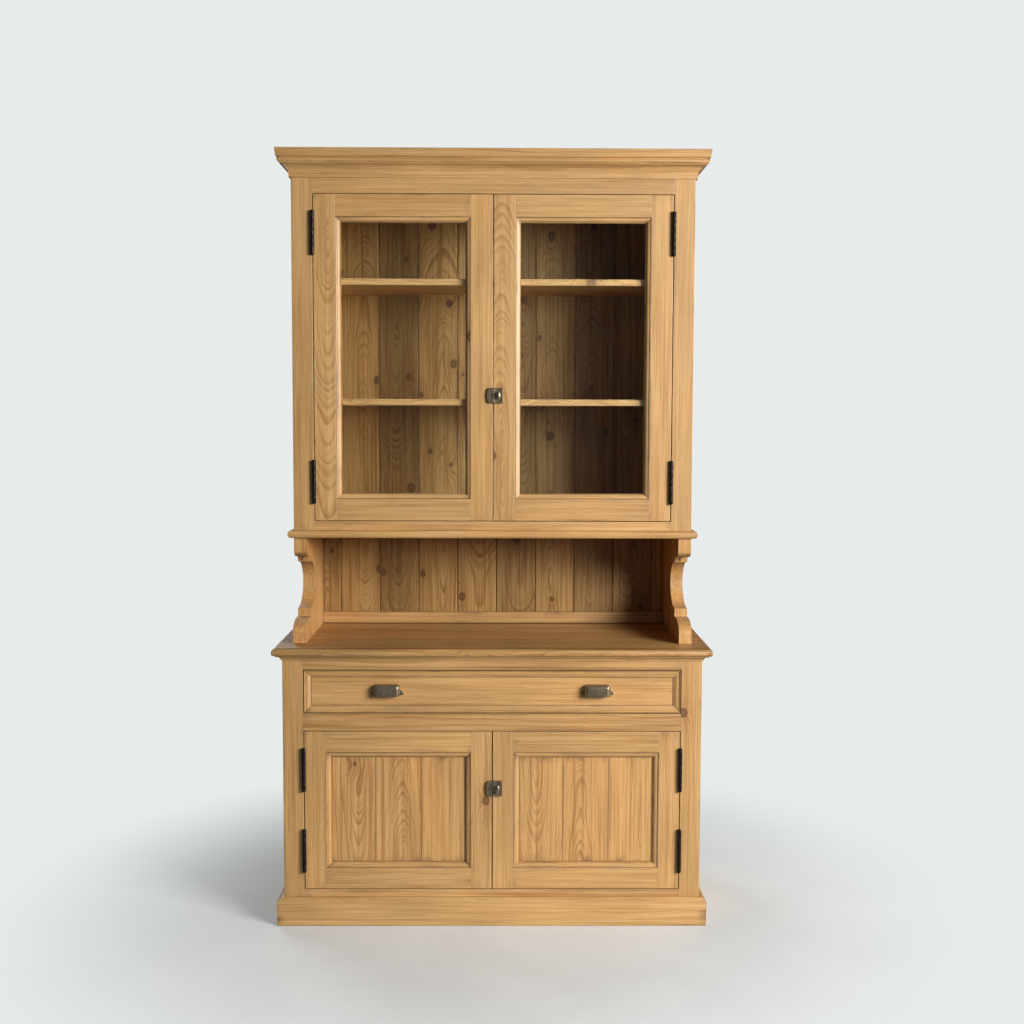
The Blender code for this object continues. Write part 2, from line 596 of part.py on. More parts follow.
# The latch case is on the right-hand door and the keeper on the left-hand one. The knob carries a tongue inside the case,
# which stands upright at rest and swings into the keeper.
def make_latch(row, pivots):
    face_y = (HUTCH_Y if row == "upper" else BASE_Y) - GAP
    z = LATCH_Z[row]
    front_y = face_y - CASE_THICK
    half = LATCH_HEIGHT / 2
    left = GAP
    tongue_y = (face_y - TONGUE_BACK - TONGUE_THICK, face_y - TONGUE_BACK)
    hollow_y = (tongue_y[0] - TONGUE_PLAY, tongue_y[1] + TONGUE_PLAY)
    hollow_low = z - TONGUE_HALF - TONGUE_PLAY
    hollow_top = z + math.hypot(TONGUE_LENGTH, TONGUE_HALF) + TONGUE_PLAY

    loops = [
        [
            (left + inset, y, z - half + inset),
            (left + CASE_WIDTH - inset, y, z - half + inset),
            (left + CASE_WIDTH - inset, y, z + half - inset),
            (left + inset, y, z + half - inset),
        ]
        for y, inset in ((face_y, 0), (front_y + CASE_CHAMFER, 0), (front_y, CASE_CHAMFER))
    ]
    name = row + "_latch_case"
    case = add_object(name, loft_mesh(name, loops), "bronze", pivots[row + "_right"])
    chamber = helper_box(
        "cut_chamber_" + row,
        (left + CASE_WALL, hollow_y[0], hollow_low),
        (KNOB_X + TONGUE_HALF + TONGUE_PLAY, hollow_y[1], hollow_top),
    )
    mouth = helper_box(
        "cut_mouth_" + row,
        (left - CASE_WALL, hollow_y[0], hollow_low),
        (left + 2 * CASE_WALL, hollow_y[1], z + CASE_SLOT_RISE),
    )
    hole = helper_rod(
        "cut_spindle_" + row,
        (KNOB_X, front_y - CASE_WALL, z),
        (KNOB_X, hollow_y[0] + CASE_WALL, z),
        SPINDLE_RADIUS + TONGUE_PLAY,
    )
    combine(case, [chamber, mouth, hole], "DIFFERENCE")

    hub = arc((KNOB_X, z), (TONGUE_HALF, TONGUE_HALF), 180, 360, 6)
    outline = [*hub, (KNOB_X + TONGUE_HALF, z + TONGUE_LENGTH), (KNOB_X - TONGUE_HALF, z + TONGUE_LENGTH)]
    loops = [[(x, y, height) for x, height in outline] for y in tongue_y]
    name = row + "_latch_tongue"
    add_object(name, loft_mesh(name, loops), "bronze", pivots[row + "_knob"])

    # The knob is a tall oval on a short spindle.
    knob_y = front_y - KNOB_STANDOFF
    bm = bmesh.new()
    bmesh.ops.create_uvsphere(bm, u_segments=16, v_segments=10, radius=1)
    bmesh.ops.scale(bm, vec=KNOB_RADII, verts=bm.verts)
    name = row + "_latch_knob"
    knob = add_object(name, mesh_of(name, bm), "bronze", pivots[row + "_knob"])
    knob.location = (KNOB_X, knob_y, z)
    spindle_end = (KNOB_X, tongue_y[0] - GAP, z)
    spindle = helper_rod("spindle_" + row, (KNOB_X, knob_y, z), spindle_end, SPINDLE_RADIUS, FINE_ROD_SIDES)
    combine(knob, [spindle], "UNION")

    # The keeper has a bowed outer edge and a slot that takes the tongue.
    right = -2 * GAP
    bow = arc((right - KEEPER_FLAT, z), (KEEPER_WIDTH - KEEPER_FLAT, half), 90, 270, 8)
    outline = [(right, z + half), *bow, (right, z - half)]
    loops = [[(x, y, height) for x, height in outline] for y in (face_y, front_y + KEEPER_SETBACK)]
    name = row + "_latch_keeper"
    keeper = add_object(name, loft_mesh(name, loops), "bronze", pivots[row + "_left"])
    slot = helper_box(
        "cut_keeper_" + row,
        (right - KEEPER_FLAT, hollow_y[0], hollow_low),
        (right + KEEPER_FLAT, hollow_y[1], z + KEEPER_SLOT_RISE),
    )
    combine(keeper, [slot], "DIFFERENCE")


# The cup seen end on, at one station along its width: a quarter round from the top edge to the front lip.
def cup_section(x, share, back, drop, wall):
    reach = (PULL_REACH - wall) * share
    rise = (PULL_HEIGHT - wall) * share
    curve = arc((0, 0), (reach, rise), 80, 0, 6)
    return [(x, back, drop), (x, back, rise), *[(x, -y, z) for y, z in curve], (x, -reach, drop)]


def pull_mesh():
    half = PULL_WIDTH / 2
    within = half - PULL_WALL
    outer = [cup_section(half * s, share, 0, CUP_DROP, 0) for s, share in CUP_STATIONS]
    inner = [cup_section(within * s, share, HOLLOW_BACK, HOLLOW_DROP, PULL_WALL) for s, share in CUP_STATIONS]
    cup = add_object("cup", loft_mesh("cup", outer), "iron")
    hollow = add_object("cut_cup", loft_mesh("cut_cup", inner), "iron")
    combine(cup, [hollow], "DIFFERENCE")
    ears = []
    for sign in (-1, 1):
        tip = sign * PULL_EARS / 2
        root = sign * (half - EAR_LAP)
        outline = [
            (root, EAR_FOOT),
            (root, EAR_ROOT),
            (tip - sign * EAR_SHOULDER_IN, EAR_SHOULDER),
            (tip, EAR_TIP),
            (tip - sign * EAR_HEEL_IN, EAR_FOOT),
        ]
        loops = [[(x, y, z) for x, z in outline] for y in (EAR_BACK, -PULL_WALL)]
        ears.append(add_object("ear", loft_mesh("ear", loops), "iron"))
    combine(cup, ears, "UNION")
    made = finished_mesh(cup)
    remove_objects([cup, hollow, *ears])
    return made


def make_pulls(pivot):
    mesh = pull_mesh()
    for side, sign in (("left", -1), ("right", 1)):
        pull = add_object("drawer_pull_" + side, mesh.copy(), "bronze", pivot)
        pull.location = (sign * PULL_X, BASE_Y + DRAWER_FIELD - GAP, PULL_Z - PULL_HEIGHT / 2)


def make_pivots():
    pivots = {"drawer": make_pivot("drawer_slide", (0, BASE_Y, DRAWER_BOTTOM))}
    for row in ("upper", "lower"):
        for side in ("left", "right"):
            pivots[row + "_" + side] = make_pivot(f"{row}_{side}_door_axis", hinge_axis(row, side))
        face_y = HUTCH_Y if row == "upper" else BASE_Y
        pivots[row + "_knob"] = make_pivot(row + "_knob_axis", (KNOB_X, face_y, LATCH_Z[row]))
    return pivots


def main():
    clear_scene()
    make_materials()
    make_base()
    make_plinth()
    make_worktop()
    make_hutch()
    make_back_boards()
    make_ledge_and_cornice()
    pivots = make_pivots()
    meshes = hinge_meshes()
    for row in ("upper", "lower"):
        for side in ("left", "right"):
            pivot = pivots[row + "_" + side]
            make_door(row, side, pivot)
            make_hinges(row, side, pivot, meshes)
        make_latch(row, pivots)
    make_drawer(pivots["drawer"])
    make_pulls(pivots["drawer"])


main()
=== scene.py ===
import math
import random

import bpy
from mathutils import Matrix, Vector


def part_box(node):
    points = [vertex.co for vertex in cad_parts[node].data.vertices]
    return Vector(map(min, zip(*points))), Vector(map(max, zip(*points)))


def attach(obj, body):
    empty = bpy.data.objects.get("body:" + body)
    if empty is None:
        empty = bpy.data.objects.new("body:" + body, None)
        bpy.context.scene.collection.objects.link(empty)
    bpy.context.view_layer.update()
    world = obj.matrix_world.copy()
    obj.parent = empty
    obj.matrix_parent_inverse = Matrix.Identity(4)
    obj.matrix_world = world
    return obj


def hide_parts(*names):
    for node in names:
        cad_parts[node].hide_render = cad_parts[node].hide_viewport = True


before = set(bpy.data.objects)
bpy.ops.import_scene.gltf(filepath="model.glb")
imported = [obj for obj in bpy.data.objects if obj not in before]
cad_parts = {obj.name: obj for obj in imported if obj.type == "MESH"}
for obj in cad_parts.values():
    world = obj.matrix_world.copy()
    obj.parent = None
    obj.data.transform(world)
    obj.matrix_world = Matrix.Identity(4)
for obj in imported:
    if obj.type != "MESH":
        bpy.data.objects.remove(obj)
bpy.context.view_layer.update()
print("frame loaded,", len(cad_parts), "nodes")

gap = 0.0003  # the air left between neighbouring parts
dice = random.Random(41)  # every small difference between boards comes from here


# Small tools


def letGo():
    bpy.ops.object.select_all(action="DESELECT")


def grab(*pieces):
    letGo()
    for piece in pieces:
        piece.select_set(True)
    bpy.context.view_layer.objects.active = pieces[0]


def named(name):
    piece = bpy.context.object
    piece.name = name
    piece.data.name = name
    return piece


def settle(piece):  # its place goes into its mesh
    grab(piece)
    bpy.ops.object.transform_apply(location=True, rotation=True, scale=True)


def openMesh(piece, kind="EDGE", pick="SELECT"):
    grab(piece)
    bpy.ops.object.mode_set(mode="EDIT")
    bpy.ops.mesh.select_mode(type=kind)
    bpy.ops.mesh.select_all(action=pick)


def closeMesh():
    bpy.ops.object.mode_set(mode="OBJECT")


def bevel(width, segments):  # the picked edges
    bpy.ops.mesh.bevel(offset=width, segments=segments, affect="EDGES")
    closeMesh()


def pickEdges(piece, test):  # selects the edges whose two ends pass the test, and stays in edit mode
    openMesh(piece, pick="DESELECT")
    closeMesh()
    corners = piece.data.vertices
    for edge in piece.data.edges:
        edge.select = test(corners[edge.vertices[0]].co, corners[edge.vertices[1]].co)
    bpy.ops.object.mode_set(mode="EDIT")


def pickFaces(piece, test):
    openMesh(piece, "FACE", "DESELECT")
    closeMesh()
    for face in piece.data.polygons:
        face.select = test(face.center, face.normal)
    bpy.ops.object.mode_set(mode="EDIT")


def block(name, low, high):
    letGo()
    low, high = Vector(low), Vector(high)
    bpy.ops.mesh.primitive_cube_add(size=1, location=(low + high) / 2, scale=high - low)
    piece = named(name)
    settle(piece)
    return piece


def rod(name, centre, radius, depth, axis="z", sides=28, ease=0.0005):
    letGo()
    turn = {"z": (0, 0, 0), "y": (math.pi / 2, 0, 0), "x": (0, math.pi / 2, 0)}[axis]
    bpy.ops.mesh.primitive_cylinder_add(vertices=sides, radius=radius, depth=depth, location=centre, rotation=turn)
    piece = named(name)
    settle(piece)
    if ease:
        ends = {"z": 2, "y": 1, "x": 0}[axis]
        pickEdges(piece, lambda a, b: abs(a[ends] - b[ends]) < radius * 0.01)
        bevel(ease, 2)
    return piece


def easeEdges(piece, width=0.0008, segments=2):
    openMesh(piece)
    bevel(width, segments)


def board(name, low, high, ease=0.0008):
    piece = block(name, low, high)
    easeEdges(piece, ease)
    return piece


def arc(centre, radii, start, end, steps):  # points of an oval arc, in degrees
    turns = [math.radians(start + (end - start) * i / steps) for i in range(steps + 1)]
    return [(centre[0] + radii[0] * math.cos(t), centre[1] + radii[1] * math.sin(t)) for t in turns]


def stick(name, outline, along):  # draws an outline point by point, fills it and pulls it out
    letGo()
    points = [Vector(p) for p in outline]
    bpy.ops.mesh.primitive_plane_add(size=0.001, location=points[0])
    piece = named(name)
    settle(piece)
    openMesh(piece, "VERT")
    bpy.ops.mesh.merge(type="CENTER")
    for before, after in zip(points, points[1:]):
        bpy.ops.mesh.extrude_region_move(TRANSFORM_OT_translate={"value": after - before})
    bpy.ops.mesh.select_all(action="SELECT")
    bpy.ops.mesh.edge_face_add()
    bpy.ops.mesh.extrude_region_move(TRANSFORM_OT_translate={"value": Vector(along)})
    bpy.ops.mesh.select_all(action="SELECT")
    bpy.ops.mesh.normals_make_consistent(inside=False)
    closeMesh()
    return piece


def saw(piece, place, away):  # cuts off what lies beyond a plane and closes the cut
    openMesh(piece)
    bpy.ops.mesh.bisect(plane_co=place, plane_no=away, use_fill=True, clear_outer=True)
    closeMesh()


def smooth(piece, angle=35):
    grab(piece)
    bpy.ops.object.shade_smooth_by_angle(angle=math.radians(angle))


def another(piece, name, shift=(0, 0, 0)):
    grab(piece)
    bpy.ops.object.duplicate_move(TRANSFORM_OT_translate={"value": Vector(shift)})
    made = named(name)
    settle(made)
    return made


def joined(name, *pieces):
    grab(*pieces)
    bpy.ops.object.join()
    return named(name)


def turned(piece, axis, degrees, centre):  # about a world axis, on the mesh itself
    grab(piece)
    turn = Matrix.Rotation(math.radians(degrees), 4, axis)
    piece.matrix_world = Matrix.Translation(centre) @ turn @ Matrix.Translation(-Vector(centre))
    settle(piece)


def extent(piece):
    corners = [Vector(c) for c in piece.bound_box]
    return Vector(map(min, *corners)), Vector(map(max, *corners))


# Finishes. One grain pattern serves every board: it reads metres in the board's own directions, across, through and
# along the grain.

pineTone = {
    "spring": (0.645, 0.376, 0.136),
    "summer": (0.335, 0.140, 0.034),
    "knot": (0.130, 0.050, 0.015),
    "worn": (0.760, 0.490, 0.230),
    # the colour of dirt, and of the painted shade along edges and ends
    "grime": (0.095, 0.048, 0.018),
    "streak": (0.400, 0.180, 0.045),
    "pale": (0.760, 0.495, 0.235),
    "halo": (0.400, 0.170, 0.050),
    "eye": (0.330, 0.150, 0.050),
    # these three multiply the colour beneath
    "redder": (1.02, 0.83, 0.72),
    "greyer": (0.90, 0.96, 0.92),
    "darkening": (0.20, 0.235, 0.14),
}


def fill(tree, made, **inputs):  # sets or links a node's inputs, by name or as i0, i1 and so on
    for key, value in inputs.items():
        counted = key[0] == "i" and key[1:].isdigit()
        socket = made.inputs[int(key[1:]) if counted else key.replace("_", " ")]
        if isinstance(value, bpy.types.NodeSocket):
            tree.links.new(value, socket)
        else:
            socket.default_value = value


def node(tree, kind, settings=None, **inputs):
    made = tree.nodes.new("ShaderNode" + kind)
    for key, value in (settings or {}).items():
        setattr(made, key, value)
    fill(tree, made, **inputs)
    return made


def mixShaders(tree, share, first, second):
    return node(tree, "MixShader", Fac=share, i1=first.outputs[0], i2=second.outputs[0])


def newFinish(name):
    material = bpy.data.materials.new(name)
    material.use_nodes = True
    tree = material.node_tree
    spot = node(tree, "TexCoord").outputs["Object"]
    return material, tree, tree.nodes["Principled BSDF"], spot


def dress(piece, material):
    piece.data.materials.clear()
    piece.data.materials.append(material)


def sums(tree, how, *values, clamp=False):
    inputs = {f"i{k}": v for k, v in enumerate(values)}
    return node(tree, "Math", {"operation": how, "use_clamp": clamp}, **inputs).outputs[0]


def vectorSum(tree, how, *values):
    inputs = {f"i{k}": v for k, v in enumerate(values)}
    made = node(tree, "VectorMath", {"operation": how}, **inputs)
    return made.outputs["Value"] if how in ("LENGTH", "DOT_PRODUCT", "DISTANCE") else made.outputs["Vector"]


def ease(tree, value, low, high, bottom=0.0, top=1.0):
    made = node(
        tree,
        "MapRange",
        {"interpolation_type": "SMOOTHSTEP"},
        Value=value,
        From_Min=low,
        From_Max=high,
        To_Min=bottom,
        To_Max=top,
    )
    return made.outputs["Result"]


def blendColours(tree, share, first, second, how="MIX"):
    made = tree.nodes.new("ShaderNodeMix")
    made.data_type = "RGBA"
    made.blend_type = how
    for index, value in ((0, share), (6, first), (7, second)):
        if isinstance(value, bpy.types.NodeSocket):
            tree.links.new(value, made.inputs[index])
        else:
            made.inputs[index].default_value = value if index == 0 else (*value[:3], 1)
    return made.outputs[2]


def cloud(tree, place, stretch, seed, detail=2.0, rough=0.55):
    spot = vectorSum(tree, "MULTIPLY", place, stretch)
    made = node(
        tree,
        "TexNoise",
        {"noise_dimensions": "4D"},
        Vector=spot,
        W=seed,
        Scale=1.0,
        Detail=detail,
        Roughness=rough,
    )
    return made.outputs["Fac"]


grainInputs = {
    "Vector": ("place", "half", "pith"),
    "Float": ("seed", "ring", "figure", "knots", "tone", "red", "grime", "wear", "dark", "streaks"),
}

# Strengths and sizes of the grain's layers. A stretch says how many times a metre a layer varies, across, through and
# along the grain.
grainLook = {
    "wander": (13, 13, 2.2),
    "wanderBy": 0.034,
    "wobble": (34, 34, 9),
    "wobbleBy": 0.013,
    "sway": (1, 1, 3.0),
    "swayBy": 0.06,
    "knotCell": 0.125,
    "knotRadius": (0.0045, 0.0125),
    "knotSwell": (0.018, 0.030),
    "knotPush": 0.016,
    "ragged": (160, 160, 90),
    "raggedBy": 0.006,
    "unevenYears": 3.2,
    "fibre": (420, 420, 9),
    "streak": (150, 150, 3.2),
    "broad": (11, 11, 2.4),
    "patch": (5, 5, 2.0),
    "dashes": (520, 520, 34),
    "rub": (60, 60, 14),
    "rubBy": 0.0045,
    "soil": (26, 26, 9),
    "specks": (210, 210, 60),
}


def makeGrain():
    look = grainLook
    tree = bpy.data.node_groups.new("pineGrain", "ShaderNodeTree")
    for kind, names in grainInputs.items():
        for name in names:
            tree.interface.new_socket(name=name, in_out="INPUT", socket_type="NodeSocket" + kind)
    for name, kind in (("colour", "Color"), ("rough", "Float"), ("height", "Float")):
        tree.interface.new_socket(name=name, in_out="OUTPUT", socket_type="NodeSocket" + kind)
    given = tree.nodes.new("NodeGroupInput").outputs
    result = tree.nodes.new("NodeGroupOutput").inputs
    place, seed = given["place"], given["seed"]

    def plus(*values, clamp=False):
        return sums(tree, "ADD", *values, clamp=clamp)

    def less(*values):
        return sums(tree, "SUBTRACT", *values)

    def times(*values, clamp=False):
        return sums(tree, "MULTIPLY", *values, clamp=clamp)

    def over(*values):
        return sums(tree, "DIVIDE", *values)

    def scaled(value, factor, base, clamp=False):
        return sums(tree, "MULTIPLY_ADD", value, factor, base, clamp=clamp)

    def squares(first, second):
        return plus(sums(tree, "POWER", first, 2.0), sums(tree, "POWER", second, 2.0))

    def ramp(*values):
        return ease(tree, *values)

    def point(x=0.0, y=0.0, z=0.0):
        return node(tree, "CombineXYZ", X=x, Y=y, Z=z).outputs[0]

    def parts(vector):
        return node(tree, "SeparateXYZ", Vector=vector).outputs

    def mist(stretch, detail, rough=0.55, shift=0.0, at=place):
        return cloud(tree, at, stretch, plus(seed, shift) if shift else seed, detail, rough)

    def swing(*values):
        return less(mist(*values), 0.5)

    def toned(share, first, second):
        return blendColours(tree, share, first, second)

    def graded(share, first, factors):
        return toned(share, first, vectorSum(tree, "MULTIPLY", first, factors))

    # the grain wanders a little from side to side
    wander = swing(look["wander"], 2)
    wobble = swing(look["wobble"], 3, 0.6)
    across, through, along = parts(place)

    # knots, one to a cell at most, with the grain flowing round them
    flat = point(across, times(along, 0.62))
    shifted = vectorSum(tree, "ADD", flat, point(times(seed, 0.731), seed))
    cells = node(
        tree,
        "TexVoronoi",
        {"voronoi_dimensions": "2D", "feature": "F1"},
        Vector=shifted,
        Scale=1 / look["knotCell"],
        Randomness=0.8,
    ).outputs
    nearX, nearY, _ = parts(vectorSum(tree, "SUBTRACT", shifted, cells["Position"]))
    chance, size, _ = node(tree, "SeparateColor", Color=cells["Color"]).outputs
    there = sums(tree, "LESS_THAN", chance, given["knots"])
    distance = sums(tree, "SQRT", squares(nearX, times(nearY, 1.25)))
    distance = plus(distance, times(swing(look["ragged"], 2), look["raggedBy"]))
    least, most = look["knotRadius"]
    share = over(distance, scaled(size, most - least, least))
    heart = times(there, ramp(share, 0.75, 1.15, 1.0, 0.0))
    wide, tall = look["knotSwell"]
    swell = sums(tree, "EXPONENT", times(squares(over(nearX, wide), over(nearY, tall)), -1.0))
    swell = times(there, swell)

    # yearly rings round a pith that leans and wanders, so that flat boards show long arches
    pithSide, pithDepth, lean = parts(given["pith"])
    sway = less(mist(look["sway"], 1, at=point(z=along)), 0.5)
    depth = plus(scaled(lean, along, pithDepth), times(sway, look["swayBy"]))
    sideways = plus(less(across, pithSide), scaled(wander, look["wanderBy"], times(wobble, look["wobbleBy"])))
    reach = sums(tree, "SQRT", squares(sideways, less(through, depth)))
    years = over(plus(reach, times(swell, look["knotPush"])), given["ring"])
    uneven = mist((0.35, 1, 1), 1, at=point(years))
    years = scaled(uneven, look["unevenYears"], years)
    year = sums(tree, "FRACT", years)
    summer = times(ramp(year, 0.35, 0.90), ramp(year, 0.92, 1.0, 1.0, 0.0))
    fading = mist((0.8, 1, 3.0), 2, at=point(years, 0.0, along))
    strength = times(given["figure"], ramp(fading, 0.30, 0.68, 0.12, 1.0))
    strength = scaled(swell, 0.5, strength, clamp=True)
    figure = times(summer, strength)

    # fibres, streaks and broad clouds
    fibre = mist(look["fibre"], 3, 0.7)
    streak = mist(look["streak"], 3)
    broad = mist(look["broad"], 3)
    patch = mist(look["patch"], 2, shift=7.3)
    dashes = ramp(mist(look["dashes"], 1, shift=3.1), 0.66, 0.76)
    colour = toned(figure, pineTone["spring"], pineTone["summer"])
    colour = toned(times(ramp(streak, 0.45, 0.70), given["streaks"]), colour, pineTone["streak"])
    colour = toned(times(ramp(streak, 0.50, 0.30), 0.40), colour, pineTone["pale"])
    colour = toned(times(dashes, 0.42), colour, pineTone["summer"])
    light = plus(scaled(less(broad, 0.5), 0.80, 1.0), scaled(less(fibre, 0.5), 0.55, given["tone"]))
    lights = node(tree, "CombineColor", Red=light, Green=light, Blue=light).outputs[0]
    colour = blendColours(tree, 1.0, colour, lights, "MULTIPLY")
    redder = plus(given["red"], ramp(patch, 0.5, 0.8, 0.0, 0.30), clamp=True)
    colour = graded(redder, colour, pineTone["redder"])
    colour = graded(ramp(patch, 0.45, 0.2, 0.0, 0.35), colour, pineTone["greyer"])

    # round a knot the wood is darker, and its heart is darkest at the rim
    colour = toned(times(swell, 0.35), colour, pineTone["halo"])
    colour = toned(times(heart, 0.85), colour, pineTone["knot"])
    colour = toned(times(heart, ramp(share, 0.75, 0.2, 0.0, 0.55)), colour, pineTone["eye"])

    # wear follows the distance to the board's nearest edge and end, and so does a darkening that is partly dirt and
    # partly painted shade where pieces meet
    inner = parts(vectorSum(tree, "SUBTRACT", given["half"], vectorSum(tree, "ABSOLUTE", place)))
    nearest = sums(tree, "MINIMUM", sums(tree, "MINIMUM", inner[0], inner[1]), inner[2])
    farthest = sums(tree, "MAXIMUM", sums(tree, "MAXIMUM", inner[0], inner[1]), inner[2])
    edge = less(less(plus(plus(inner[0], inner[1]), inner[2]), nearest), farthest)
    rubbed = ramp(scaled(mist(look["rub"], 3), look["rubBy"], edge), 0.0020, 0.0050, 1.0, 0.0)
    colour = toned(times(rubbed, given["wear"]), colour, pineTone["worn"])
    soil = mist(look["soil"], 4, 0.65)
    nearEnd = times(ramp(inner[2], 0.0, 0.030, 1.0, 0.0), ramp(soil, 0.45, 0.72))
    nearEdge = times(ramp(edge, 0.001, 0.009, 1.0, 0.0), ramp(soil, 0.48, 0.70))
    specks = ramp(mist(look["specks"], 1), 0.74, 0.80)
    soiledAndShaded = plus(sums(tree, "MAXIMUM", nearEnd, times(nearEdge, 0.7)), times(specks, 0.5))
    soiledAndShaded = times(soiledAndShaded, given["grime"], clamp=True)
    # a thin dark line along every edge: painted shade of the crevices where pieces meet
    paintedSeamShade = times(ramp(edge, 0.0006, 0.0030, 1.0, 0.0), sums(tree, "POWER", given["grime"], 3.0))
    soiledAndShaded = sums(tree, "MAXIMUM", soiledAndShaded, times(paintedSeamShade, 0.75), clamp=True)
    colour = toned(soiledAndShaded, colour, pineTone["grime"])
    colour = graded(given["dark"], colour, pineTone["darkening"])

    rough = less(scaled(less(streak, 0.5), 0.22, 0.46), times(summer, 0.07))
    rough = plus(plus(rough, times(soiledAndShaded, 0.18)), times(less(soil, 0.5), 0.14), clamp=True)
    height = plus(scaled(figure, 0.35, times(fibre, 0.45)), scaled(streak, 0.6, times(heart, -0.5)))
    tree.links.new(colour, result["colour"])
    tree.links.new(rough, result["rough"])
    tree.links.new(height, result["height"])
    return tree


grainGroup = makeGrain()

plainPine = {
    "ring": 0.0042,
    "pithSide": 0.16,  # how far to one side the pith lies: far off gives straight lines
    "pithDepth": 0.05,
    "lean": 0.02,
    "figure": 0.50,
    "knots": 0.05,
    "tone": 0.0,
    "red": 0.12,
    "grime": 0.35,
    "wear": 0.30,
    "dark": 0.0,
    "streaks": 0.5,
    "bump": 0.35,
    "coat": 0.50,
}
archedPine = {**plainPine, "pithSide": 0.012, "pithDepth": 0.030, "lean": 0.10, "ring": 0.0038, "figure": 0.75}
axes = {"x": Vector((1, 0, 0)), "y": Vector((0, 1, 0)), "z": Vector((0, 0, 1))}


def grainTurn(along, face):  # turns world directions into across, through and along
    rows = [axes[({"x", "y", "z"} - {along, face}).pop()], axes[face], axes[along]]
    if rows[0].cross(rows[1]).dot(rows[2]) < 0:
        rows[0] = -rows[0]
    return Matrix(rows)


def pine(piece, along, face=None, look=plainPine, **changes):
    look = {**look, **changes}
    low, high = extent(piece)
    size = high - low
    if face is None:
        face = min(({"x", "y", "z"} - {along}), key=lambda a: size["xyz".index(a)])
    turn = grainTurn(along, face)
    half = [abs(v) for v in turn @ (size / 2)]
    material, tree, shader, spot = newFinish(piece.name + "_pine")
    centred = node(
        tree,
        "Mapping",
        Vector=spot,
        Location=-(turn @ ((low + high) / 2)),
        Rotation=turn.to_euler("XYZ"),
    ).outputs[0]
    grain = tree.nodes.new("ShaderNodeGroup")
    grain.node_tree = grainGroup
    tree.links.new(centred, grain.inputs["place"])
    side = dice.choice((-1, 1)) * look["pithSide"] * dice.uniform(0.75, 1.3)
    values = {
        "half": half,
        "pith": (
            side,
            look["pithDepth"] * dice.uniform(0.7, 1.4),
            look["lean"] * dice.choice((-1, 1)) * dice.uniform(0.6, 1.4),
        ),
        "seed": dice.uniform(0, 60),
        "ring": look["ring"] * dice.uniform(0.85, 1.2),
        "figure": look["figure"] * dice.uniform(0.85, 1.15),
        "tone": look["tone"] + dice.uniform(-0.05, 0.05),
        "red": look["red"] * dice.uniform(0.3, 1.8),
    }
    fill(tree, grain, **values, **{key: look[key] for key in ("knots", "grime", "wear", "dark", "streaks")})
    bump = node(tree, "Bump", Strength=look["bump"], Distance=0.0006, Height=grain.outputs["height"])
    fill(
        tree,
        shader,
        Base_Color=grain.outputs["colour"],
        Roughness=grain.outputs["rough"],
        Normal=bump.outputs[0],
        Coat_Weight=look["coat"],
        Coat_Roughness=0.50,
        Specular_IOR_Level=0.5,
    )
    dress(piece, material)


def metal(name, dull, bright, metallic, rough, share=(0.52, 0.68)):
    material, tree, shader, spot = newFinish(name)
    rubbed = node(tree, "TexNoise", Vector=spot, Scale=95.0, Detail=4.0, Roughness=0.6).outputs["Fac"]
    scratch = cloud(tree, spot, (2400, 900, 300), 3.0, 2)
    pits = node(tree, "TexNoise", Vector=spot, Scale=900.0, Detail=2.0).outputs["Fac"]
    colour = blendColours(tree, ease(tree, rubbed, *share), dull, bright)
    colour = blendColours(tree, ease(tree, pits, 0.55, 0.75, 0.0, 0.4), colour, tuple(c * 0.5 for c in dull))
    roughness = sums(tree, "MULTIPLY_ADD", sums(tree, "SUBTRACT", rubbed, 0.5), -0.35, rough)
    scratched = sums(tree, "MULTIPLY", sums(tree, "SUBTRACT", scratch, 0.5), 0.15)
    roughness = sums(tree, "ADD", roughness, scratched, clamp=True)
    height = sums(tree, "MULTIPLY_ADD", pits, 0.6, sums(tree, "MULTIPLY", scratch, 0.4))
    bump = node(tree, "Bump", Strength=0.3, Distance=0.0002, Height=height)
    fill(tree, shader, Base_Color=colour, Roughness=roughness, Normal=bump.outputs[0], Metallic=metallic)
    return material


ironMetal = metal("blackIron", (0.020, 0.018, 0.016), (0.060, 0.050, 0.040), 0.85, 0.48)
brassMetal = metal("agedBrass", (0.260, 0.200, 0.125), (0.480, 0.400, 0.270), 0.80, 0.35, (0.34, 0.76))


def paneGlass():
    material, tree, shader, spot = newFinish("paneGlass")
    ripple = cloud(tree, spot, (9, 9, 5), 2.0, 1)
    smear = cloud(tree, spot, (14, 14, 22), 9.0, 4)
    bump = node(tree, "Bump", Strength=0.06, Distance=0.002, Height=ripple)
    fill(
        tree,
        shader,
        Base_Color=(0.97, 0.985, 0.98, 1),
        Roughness=ease(tree, smear, 0.45, 0.8, 0.01, 0.05),
        Normal=bump.outputs[0],
        Transmission_Weight=1.0,
        IOR=1.22,
    )
    clear = node(tree, "BsdfTransparent", Color=(0.62, 0.65, 0.64, 1))  # what the pane's shadow lets by
    path = node(tree, "LightPath")
    mix = mixShaders(tree, path.outputs["Is Shadow Ray"], shader, clear)
    tree.links.new(mix.outputs[0], tree.nodes["Material Output"].inputs["Surface"])
    return material


glassPane = paneGlass()


def place(piece, body, slotName, *nodes):
    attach(piece, body)
    if nodes:
        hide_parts(*nodes)


print("finishes ready")


# Base cupboard: face frame, sides, back and plinth

baseLook = {"stile": 0.057, "doorGap": 0.002, "ease": 0.0009, "sidePlanks": 3, "backBoards": 9}


